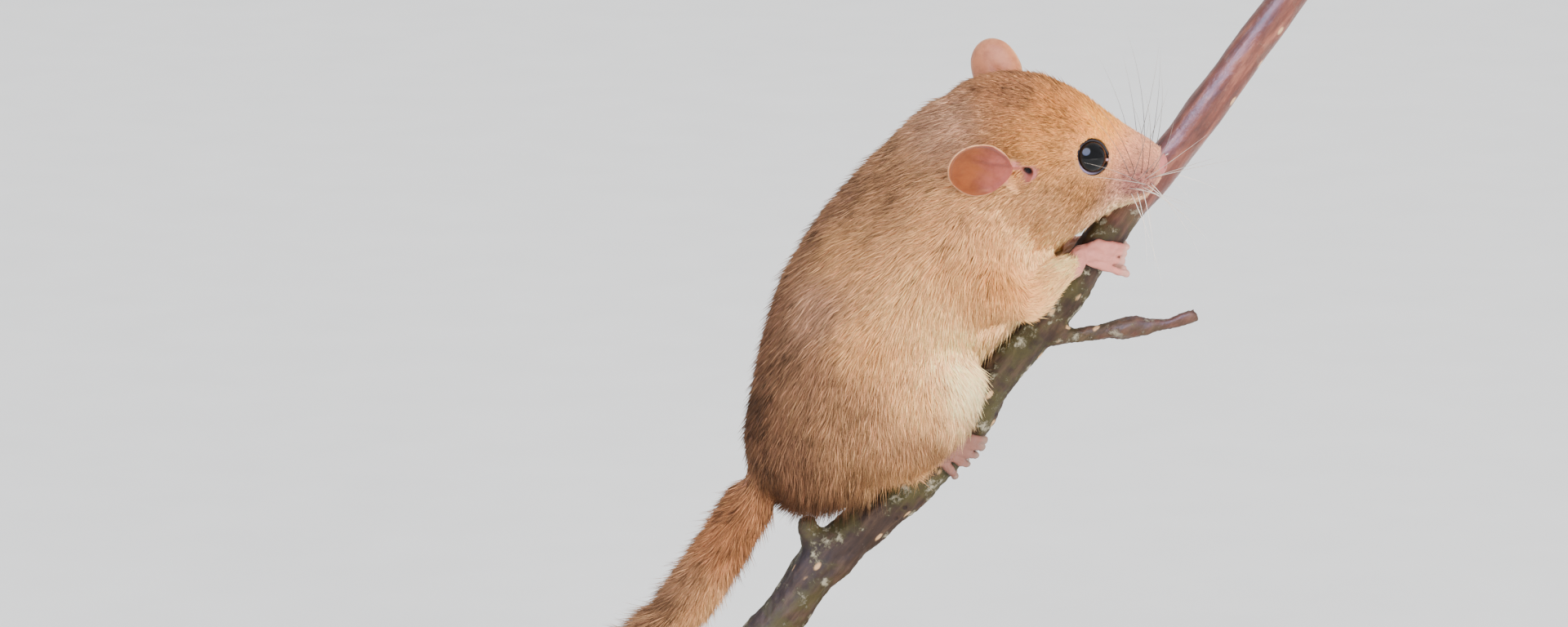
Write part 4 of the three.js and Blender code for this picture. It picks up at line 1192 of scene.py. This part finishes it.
class CoatOperator(bpy.types.Operator):
    """Grows the coat as closed tufts that follow the lie of the hair"""

    bl_idname = "dormouse.coat"
    bl_label = "Coat"

    def execute(self, context):
        settings = context.scene.dormouse_coat
        random = np.random.default_rng(settings.seed)
        mesh = bpy.data.objects["skin"].data
        points, normal, pairs = coordinates(mesh), normals(mesh), edges(mesh)
        parts = np.empty(len(points), np.int32)
        mesh.attributes["part"].data.foreach_get("value", parts)
        density = self.density(points, parts, settings.fullness)
        corners, weights = coat_roots(mesh, density, TUFTS, random)

        def at_roots(values):
            flat = values.reshape(len(values), -1)
            found = (flat[corners] * weights[:, :, None]).sum(1)
            return found if values.ndim > 1 else found[:, 0]

        root, part = at_roots(points), parts[corners[:, 0]]
        out = unit(at_roots(normal))
        way = at_roots(self.lie(points, parts, normal, pairs))
        way = unit(way - out * (way * out).sum(1)[:, None])
        length, width, lift, clump = (
            at_roots(values) for values in self.growth(points, parts, normal, pairs, settings))
        count = len(root)
        swirl = random.normal(0, 0.16, count) + 0.10 * ripples(root, 0.8, 9, random)
        way = unit(way + np.cross(out, way) * swirl[:, None])
        length *= random.uniform(0.65, 1.2, count)
        width *= random.uniform(0.7, 1.25, count)
        lift *= random.uniform(0.55, 1.5, count)
        guard = random.random(count) < GUARD_HAIRS
        length[guard] *= 1.2
        width[guard] *= 0.75
        lift[guard] *= 1.4
        clump[guard] *= 0.2
        lock = locks(root, random)
        tip = root + (way * np.cos(lift)[:, None] + out * np.sin(lift)[:, None]) * length[:, None]
        tip += (tip[lock] - tip) * clump[:, None]
        tufts = tuft_points(root, tip, out, width)
        colours = coat_colours(root, lock, settings.brightness, random)
        self.pieces(tufts, colours, part, bake_places(root, part))
        return {"FINISHED"}

    @staticmethod
    def density(points, parts, fullness):
        """How many tufts grow on each square millimetre, with none on bare skin and round the eyes."""
        to_nose, to_eye = skin_fields(points)
        _, bare, dark = muzzle_relief(points)
        density = per_part(parts, "density") * fullness
        density *= (1 - bare) * (1 - smoothstep(0.45, 0.8, dark)) * smoothstep(2.28, 2.42, to_eye)
        density *= smoothstep(1.1, 1.7, to_ear_ground(points))
        density *= 1 + 0.7 * (1 - smoothstep(3, 12, to_nose))
        return density

    @staticmethod
    def lie(points, parts, normal, pairs):
        """The way the hair lies along the skin, brushed away from the eyes."""
        lie = coat_lie(points, parts)
        for side in SIDES:
            away = points - middle(f"eye_{side}")
            distance = np.linalg.norm(away, axis=1)[:, None]
            lie += unit(away) * 1.3 * np.exp(-((distance - 2.3) ** 2))
        lie -= normal * (lie * normal).sum(1)[:, None]
        return unit(eased(lie, pairs, 0.5, 12))

    @staticmethod
    def growth(points, parts, normal, pairs, settings):
        """The tufts' length, width, lift and clumping: short on the face, longer under the rump."""
        to_nose, to_eye = skin_fields(points)
        columns = ("length", "width", "lift", "clump")
        length, width, lift, clump = (
            eased(per_part(parts, column), pairs, 0.5, 20) for column in columns)
        length *= settings.length
        length *= 0.28 + 0.72 * smoothstep(1.0, 14.0, to_nose)
        length *= 0.35 + 0.65 * smoothstep(2.6, 5.5, to_eye)
        width *= 0.6 + 0.4 * smoothstep(2.0, 12.0, to_nose)
        x, z = points[:, 0], points[:, 2]
        fringe = (1 - smoothstep(44.5, 50.0, z)) * smoothstep(0.35, -0.35, normal[:, 2])
        fringe *= smoothstep(-13.0, -8.0, x) * (1 - smoothstep(8.0, 11.0, x))
        fringe[belongs(parts, TAIL)] = 0
        length *= 1 + 0.75 * fringe
        return length, width, np.radians(lift) + np.radians(22) * fringe, clump * settings.clump

    def pieces(self, tufts, colours, part, places):
        """Joins the tufts into a few pieces for each slot."""
        order = np.lexsort((places[:, 1], places[:, 0]))
        order = order[np.argsort(part[order], kind="stable")]
        order = order[self.clear(tufts)[order]]
        material = hair_material("dormouse_coat", 0.62, 0.16)
        for slot, kinds in FUR_SLOTS.items():
            here = order[belongs(part[order], kinds)]
            shares = np.array_split(here, math.ceil(len(here) / TUFTS_PER_PIECE))
            for number, chosen in enumerate(shares):
                name = f"{slot}_{number + 1}"
                hair = tuft_mesh(name, tufts[chosen], places[chosen])
                paint(hair, "coat", colours[chosen].reshape(-1, 3))
                linked(name, hair, material)

    def clear(self, tufts):
        """Which tufts keep clear of the stem, the ears and the eyes."""
        waist, tip = tufts[:, 1], tufts[:, 3]
        clear = (stem_clearance(tip) > 0.1) & (stem_clearance(waist) > 0.05)
        for reach in (tip, waist):
            clear &= to_canal(reach) > 1.0
            for side in SIDES:
                clear &= ~self.through_ear(side, reach)
                clear &= np.linalg.norm(reach - middle(f"eye_{side}"), axis=1) > EYE_EDGE
        return clear

    @staticmethod
    def through_ear(side, points):
        """Which points lie in an ear's hollow or in its flap."""
        root, length, along, across, facing = ear_frame(side)
        away = points - root
        x = (away @ along / length - EAR_REACH[0]) / EAR_REACH[1]
        y = away @ across / (bpy.context.scene.dormouse_ears.half_width / MM)
        return (x**2 + y**2 < 1.0) & (away @ facing > -1.5 * np.clip(1 - x**2 - y**2, 0, 1) - 0.6)


def whisker_places():
    """Where the whiskers grow on the left side, before the head is turned."""
    x, y, z = WHISKER_PAD
    grid = [divmod(number, WHISKERS_IN_A_ROW) for number in range(len(WHISKERS))]
    return [(x + 0.8 * (place - 2) + 0.3 * (row % 2), y, z + 0.75 * (1.5 - row)) for row, place in grid]


def coat_colours(root, lock, brightness, random):
    """Four colours for each tuft: painted shade at the root, its own tone, and a tip lightened as a
    painted highlight, or a pale or a dark tip.
    """
    count = len(root)
    tone = coat_tone(root) * brightness
    dusky = 1 - smoothstep(0.16, 0.42, tone.mean(1))
    mottle = smoothstep(-0.8, 1.2, ripples(root, 1.0, 9, random) + 0.7 * ripples(root, 2.4, 9, random))
    tone = tone * np.exp(random.normal(0, 0.17, count) + random.normal(0, 0.03, count)[lock])[:, None]
    tone = tone * (1 + random.normal(0, 0.03, (count, 3)))
    tone = tone * (1.08 - 0.20 * mottle * (0.4 + 0.6 * dusky))[:, None]
    fleck = random.random(count)[lock] < FLECKED_LOCKS * mottle * (0.4 + dusky)
    share = (DARK_HAIRS + 0.20 * dusky) * (0.35 + 1.3 * mottle) + 0.5 * fleck
    dark = random.random(count) < share
    pale = (random.random(count) < PALE_TIPS) & ~dark
    # Every tip starts a little lighter, as a painted highlight; the pale and dark tips are the hair's own
    # colours.
    tip = tone * 1.08
    tip[dark] = tone[dark] * 0.30
    tip[pale] = tone[pale] * 1.22
    body = tone.copy()
    body[dark] *= 0.55
    here = one_side(straightened(root))
    gaps = here[:, None, [0, 2]] - np.array(whisker_places())[None, :, [0, 2]]
    spot = 0.75 * np.exp(-((gaps**2).sum(2).min(1) / 0.26**2)) * (here[:, 0] > 29)
    for colours in (tone, body, tip):
        colours += (linear((112, 58, 66)) - colours) * spot[:, None]
    # The root's colour, at 0.72 of the tone, is painted shade.
    return np.stack([tone * 0.72, body, body, tip], axis=1)


class EyesOperator(bpy.types.Operator):
    """Makes the two black eyes and the rims of their lids"""

    bl_idname = "dormouse.eyes"
    bl_label = "Eyes"

    def execute(self, context):
        for side, sign in SIDES.items():
            low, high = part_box(f"eye_{side}")
            centre, radius = (low + high) / 2, (high.x - low.x) / 2
            facing = (HEAD_TURN @ Vector((0.50, 0.80 * sign, 0.33))).normalized()
            turn = facing.to_track_quat("Z", "Y").to_matrix()
            ball = bmesh.new()
            bmesh.ops.create_uvsphere(ball, u_segments=48, v_segments=32, radius=radius)
            bmesh.ops.transform(ball, verts=ball.verts, matrix=Matrix.Translation(centre) @ turn.to_4x4())
            eye = finished(f"eyeball_{side}", ball, eye_material(facing, centre))
            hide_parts(f"eye_{side}")
            forward = turn.inverted() @ Vector((1, 0, -0.15))
            to_nose = math.atan2(forward.y, forward.x)
            self.corner(side, centre, radius, turn, to_nose)
            self.lid(side, centre, radius, turn, to_nose)
        return {"FINISHED"}

    @staticmethod
    def corner(side, centre, radius, turn, to_nose):
        """The small pink corner of the eye that points towards the nose."""
        inner = turn @ Vector((math.cos(to_nose), math.sin(to_nose), 0.22)) * (radius + 0.12 * MM)
        corner = bmesh.new()
        bmesh.ops.create_uvsphere(corner, u_segments=20, v_segments=12, radius=0.3 * MM)
        bmesh.ops.scale(corner, verts=corner.verts, vec=(1.25, 0.7, 0.6))
        bmesh.ops.translate(corner, verts=corner.verts, vec=centre + inner)
        finished(f"tear_corner_{side}", corner, corner_material())

    @staticmethod
    def lid(side, centre, radius, turn, to_nose):
        """A thin rounded rim, slightly pointed towards the nose, on the eyeball's widest visible ring."""
        height = 0.86 * MM
        reach = math.sqrt(radius**2 - height**2) + 0.06 * MM
        rim = bmesh.new()
        section = Matrix.Translation((reach, 0, height)) @ Matrix.Rotation(math.pi / 2, 4, "X")
        bmesh.ops.create_circle(rim, segments=12, radius=0.17 * MM, matrix=section)
        bmesh.ops.spin(rim, geom=rim.verts[:] + rim.edges[:], cent=(0, 0, 0), axis=(0, 0, 1),
                       angle=2 * math.pi, steps=64, use_merge=True)
        bmesh.ops.remove_doubles(rim, verts=rim.verts, dist=WELD)
        for vertex in rim.verts:
            angle = math.atan2(vertex.co.y, vertex.co.x)
            pointed = max(0.0, math.cos(angle - to_nose)) ** 16 * 0.62 * MM
            vertex.co.xy *= 1 + pointed / reach
            vertex.co.z -= pointed * 0.8
            vertex.co = centre + turn @ vertex.co
        bmesh.ops.recalc_face_normals(rim, faces=rim.faces)
        lid = finished(f"lid_rim_{side}", rim, lid_material())
        away = (coordinates(lid.data) * MM - np.array(centre)) / radius
        # The rim is near-black; its lower, rear part is painted pale lavender, a painted reflection of the
        # bluish sky.
        mauve = smoothstep(0.2, -0.7, away[:, 2]) * smoothstep(0.7, -0.3, away[:, 0])
        dark, pale = linear((26, 18, 24)), linear((128, 112, 140))
        paint(lid.data, "tone", dark + (pale - dark) * mauve[:, None])


def tapered_tube(shape, points, radii, sides):
    """Adds a closed tube that ends in a point, and returns the vertices of each of its rings."""
    points = np.array(points, float)
    ways = unit(np.gradient(points, axis=0))
    across = unit(np.cross(ways, [0.13, 0.92, 0.37]))
    frames = []
    for point, radius, a, w in zip(points, radii, across, ways):
        columns = np.column_stack([a * radius, np.cross(w, a) * radius, w, point]) * MM
        frames.append(Matrix([*columns, (0, 0, 0, 1)]))
    made = bmesh.ops.create_circle(shape, cap_ends=True, segments=sides, radius=1, matrix=frames[0])
    rings = [made["verts"]]
    for before, after in zip(frames, frames[1:]):
        last = rings[-1]
        rim = [edge for i, vertex in enumerate(last) for edge in vertex.link_edges
               if edge.other_vert(vertex) in last[:i]]
        made = bmesh.ops.extrude_edge_only(shape, edges=rim)
        ring = [item for item in made["geom"] if isinstance(item, bmesh.types.BMVert)]
        bmesh.ops.transform(shape, verts=ring, matrix=after @ before.inverted())
        rings.append(ring)
    tip = rings[-1][0]
    bmesh.ops.pointmerge(shape, verts=rings[-1], merge_co=Vector(points[-1] * MM))
    return [*rings[:-1], [tip]]


class WhiskersOperator(bpy.types.Operator):
    """Makes the whiskers of both sides, dark above and pale below"""

    bl_idname = "dormouse.whiskers"
    bl_label = "Whiskers"

    def execute(self, context):
        random = np.random.default_rng(21)
        skin = bpy.data.objects["skin"].data
        tree = BVHTree.FromPolygons(
            [vertex.co[:] for vertex in skin.vertices], [face.vertices[:] for face in skin.polygons])
        material = hair_material("whisker", 0.35, 0.4)
        dark, pale = linear((48, 34, 30)), linear((240, 228, 214))
        for side, sign in SIDES.items():
            tubes = bmesh.new()
            colour = tubes.verts.layers.float_color.new("coat")
            for (x, y, z), (angle, outward, length, darkness) in zip(whisker_places(), WHISKERS):
                root, out, _, _ = tree.find_nearest(Vector(turned((x, y * sign, z))) * MM)
                root = np.array(root) / MM
                turn = math.radians(angle + random.normal(0, 4))
                way = unit(np.array([math.cos(turn), sign * outward, math.sin(turn)]))
                way = unit(way + np.array(out) * 0.35)
                length *= random.uniform(0.85, 1.1)
                sag = np.array([-0.16, sign * 0.10, -0.05]) * random.uniform(0.5, 1.3) * length
                shares = np.linspace(0, 1, 9)
                line = [root - way * 0.3 + way * length * t + sag * t * t for t in shares]
                radii = WHISKER_RADIUS * (1 - shares * 0.85)
                tone = pale + (dark - pale) * darkness
                for ring, t in zip(tapered_tube(tubes, line, radii, 5), shares):
                    for vertex in ring:
                        vertex[colour] = (*(tone + (pale - tone) * 0.5 * t * t), 1)
            bmesh.ops.recalc_face_normals(tubes, faces=tubes.faces)
            finished(f"whiskers_{side}", tubes, material)
        return {"FINISHED"}


class ClawsOperator(bpy.types.Operator):
    """Makes a short curved claw on each finger and toe"""

    bl_idname = "dormouse.claws"
    bl_label = "Claws"

    def execute(self, context):
        material = claw_material()
        for side, sign in SIDES.items():
            for name, grip, digits in (("hand", HAND_GRIP, FINGERS), ("foot", FOOT_GRIP, TOES)):
                tubes = bmesh.new()
                for *_, before, end in digits:
                    start = besides_stem(grip, -sign, *before)
                    tip = besides_stem(grip, -sign, *end)
                    way = unit(tip - start)
                    inward = unit(besides_stem(grip, -sign, end[0], end[1] + 20, 0.5) - tip)
                    shares = np.linspace(0, 1, 8)
                    line = [tip + way * (1.15 * t - 0.05) + inward * 0.5 * t * t for t in shares]
                    radii = CLAW_RADIUS * (1 - (0.99 * shares) ** 1.5)
                    tapered_tube(tubes, line, radii, 10)
                bmesh.ops.recalc_face_normals(tubes, faces=tubes.faces)
                finished(f"claws_{name}_{side}", tubes, material)
        return {"FINISHED"}


class PerchOperator(bpy.types.Operator):
    """Makes the stem's bark with its stub, twig, bumps and cut ends"""

    bl_idname = "dormouse.perch"
    bl_label = "Perch"

    def execute(self, context):
        mesh = fused(["perch_branch", "perch_twig"], 0.2, 0.34)
        points, pairs = coordinates(mesh), edges(mesh)
        raw = normals(mesh)
        line = np.array(STEM)[:, :3]
        share, _, way = nearest_on_line(points, line)
        cut = (np.abs((raw * way).sum(1)) > 0.8) & ((share < 0.02) | (share > 0.985))
        points = eased(points, pairs, np.where(cut, 0.0, 0.5), 10)
        set_coordinates(mesh, points)
        normal = eased(normals(mesh), pairs, 0.5, 2)
        random = np.random.default_rng(3)
        waves = sum(size * ripples(points, scale, 5, random) for scale, size in
                    ((0.35, 0.16), (0.9, 0.13), (2.1, 0.09), (5.0, 0.05)))
        rough = 0.75 - 0.6 * smoothstep(66.0, 88.0, points[:, 2])
        points = points + normal * (rough * waves - 0.2)[:, None] * np.where(cut, 0, 1)[:, None]
        set_coordinates(mesh, points)
        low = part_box("perch_twig")[0] / MM
        on_twig = (stem_clearance(points) > 0.8) & (points[:, 2] > low.z - 0.5) & (points[:, 0] > low.x)
        age = np.where(on_twig, 0.55, 1 - smoothstep(66.0, 92.0, points[:, 2]))
        for name, values, rounds in (("cut", cut, 2), ("age", age, 12)):
            attribute = mesh.attributes.new(name, "FLOAT", "POINT")
            attribute.data.foreach_set("value", eased(values, pairs, 0.5, rounds).astype(np.float32))
        piece = linked("hazel_stem", mesh, bark_material())
        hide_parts("perch_branch", "perch_twig")
        return {"FINISHED"}


class StandOperator(bpy.types.Operator):
    """Makes the oval wooden base and the steel rod"""

    bl_idname = "dormouse.stand"
    bl_label = "Stand"

    def execute(self, context):
        low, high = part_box("stand_base")
        size, centre = high - low, (low + high) / 2
        base = bmesh.new()
        bmesh.ops.create_circle(base, cap_ends=True, segments=128, radius=0.5)
        bmesh.ops.scale(base, verts=base.verts, vec=(size.x, size.y, 1))
        bmesh.ops.translate(base, verts=base.verts, vec=(centre.x, centre.y, low.z))
        top = bmesh.ops.extrude_face_region(base, geom=base.faces[:])
        lifted = [v for v in top["geom"] if isinstance(v, bmesh.types.BMVert)]
        bmesh.ops.translate(base, verts=lifted, vec=(0, 0, size.z))
        bmesh.ops.recalc_face_normals(base, faces=base.faces)
        rims = [e for e in base.edges if abs(e.verts[0].co.z - e.verts[1].co.z) < 1e-9]
        bmesh.ops.bevel(
            base, geom=rims, offset=0.8 * MM, segments=4, profile=0.5, affect="EDGES", material=-1)
        self.place(base, "oak_base", oak_material(), "stand_base", "stand_wood")

        low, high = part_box("stand_rod")
        x, y = (low.x + high.x) / 2, (low.y + high.y) / 2
        outline = [(radius * MM, low.z + height * MM) for radius, height in COLLAR]
        outline += [(COLLAR[-1][0] * MM, high.z), (0, high.z)]
        rod = bmesh.new()
        verts = [rod.verts.new((x + radius, y, z)) for radius, z in outline]
        lines = [rod.edges.new(pair) for pair in zip(verts, verts[1:])]
        bmesh.ops.spin(rod, geom=verts + lines, cent=(x, y, 0), axis=(0, 0, 1), angle=2 * math.pi,
                       steps=48, use_merge=True)
        bmesh.ops.remove_doubles(rod, verts=rod.verts, dist=WELD)
        bmesh.ops.recalc_face_normals(rod, faces=rod.faces)
        self.place(rod, "steel_rod", steel_material(), "stand_rod", "stand_metal")
        return {"FINISHED"}

    @staticmethod
    def place(shape, name, material, node, slot):
        """One piece of the stand, with crisp edges."""
        piece = finished(name, shape, material)
        sharp = piece.modifiers.new("edges", "WEIGHTED_NORMAL")
        sharp.keep_sharp = True
        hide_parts(node)


class StageOperator(bpy.types.Operator):
    """Sets the floor, the soft lights and the camera"""

    bl_idname = "dormouse.stage"
    bl_label = "Stage"

    def execute(self, context):
        settings = context.scene.dormouse_stage
        floor = bmesh.new()
        bmesh.ops.create_grid(floor, x_segments=4, y_segments=4, size=6.0)
        mesh = bpy.data.meshes.new("floor")
        floor.to_mesh(mesh)
        floor.free()
        mesh.materials.append(floor_material())
        ground = bpy.data.objects.new("floor", mesh)
        context.scene.collection.objects.link(ground)

        world = bpy.data.worlds.new("soft surroundings")
        world.use_nodes = True
        back = world.node_tree.nodes["Background"]
        back.inputs["Color"].default_value = (*settings.world, 1)
        back.inputs["Strength"].default_value = WORLD_STRENGTH
        context.scene.world = world
        target = Vector(settings.target)
        for name, lamp in LAMPS.items():
            self.light(name, target, *lamp)

        lens = bpy.data.cameras.new("camera")
        lens.lens = lens.sensor_width * settings.distance / settings.frame_width
        lens.clip_start, lens.clip_end = 0.01, 50
        camera = bpy.data.objects.new("camera", lens)
        context.scene.collection.objects.link(camera)
        tilt = settings.elevation
        camera.location = target + Vector((0, -math.cos(tilt), math.sin(tilt))) * settings.distance
        camera.rotation_euler = (math.pi / 2 - tilt, 0, 0)
        context.scene.camera = camera
        return {"FINISHED"}

    @staticmethod
    def light(name, target, offset, size, power, colour, mirrored, matt):
        """A round lamp that faces the target."""
        lamp = bpy.data.lights.new(name, "AREA")
        lamp.shape = "DISK"
        lamp.size = size
        lamp.energy = power
        lamp.color = colour
        carrier = bpy.data.objects.new(name, lamp)
        bpy.context.scene.collection.objects.link(carrier)
        carrier.visible_glossy = mirrored
        carrier.visible_diffuse = matt
        carrier.location = target + Vector(offset)
        carrier.rotation_euler = (-Vector(offset)).to_track_quat("-Z", "Y").to_euler()


class DormousePanel(bpy.types.Panel):
    """Shows the settings and a button for each step that makes the dormouse"""

    bl_idname = "VIEW3D_PT_dormouse"
    bl_label = "Hazel dormouse"
    bl_space_type = "VIEW_3D"
    bl_region_type = "UI"
    bl_category = "Dormouse"

    def draw(self, context):
        scene = context.scene
        for settings in (getattr(scene, name) for name in SETTINGS):
            box = self.layout.box()
            for name in settings.__annotations__:
                box.prop(settings, name)
        for operator in OPERATORS:
            self.layout.operator(operator.bl_idname)


SETTINGS = {
    "dormouse_skin": DormouseSkinSettings,
    "dormouse_ears": DormouseEarSettings,
    "dormouse_coat": DormouseCoatSettings,
    "dormouse_stage": DormouseStageSettings,
}
OPERATORS = (
    StageOperator, SkinOperator, EarsOperator, PawsOperator, ClawsOperator, CoatOperator, EyesOperator,
    WhiskersOperator, PerchOperator, StandOperator,
)


def register():
    for kind in (*SETTINGS.values(), *OPERATORS, DormousePanel):
        bpy.utils.register_class(kind)
    for name, kind in SETTINGS.items():
        setattr(bpy.types.Scene, name, PointerProperty(type=kind))


def unregister():
    for name in SETTINGS:
        delattr(bpy.types.Scene, name)
    for kind in (DormousePanel, *reversed(OPERATORS), *SETTINGS.values()):
        bpy.utils.unregister_class(kind)


def main():
    register()
    for operator in OPERATORS:
        group, name = operator.bl_idname.split(".")
        getattr(getattr(bpy.ops, group), name)()


if __name__ == "__main__":
    main()
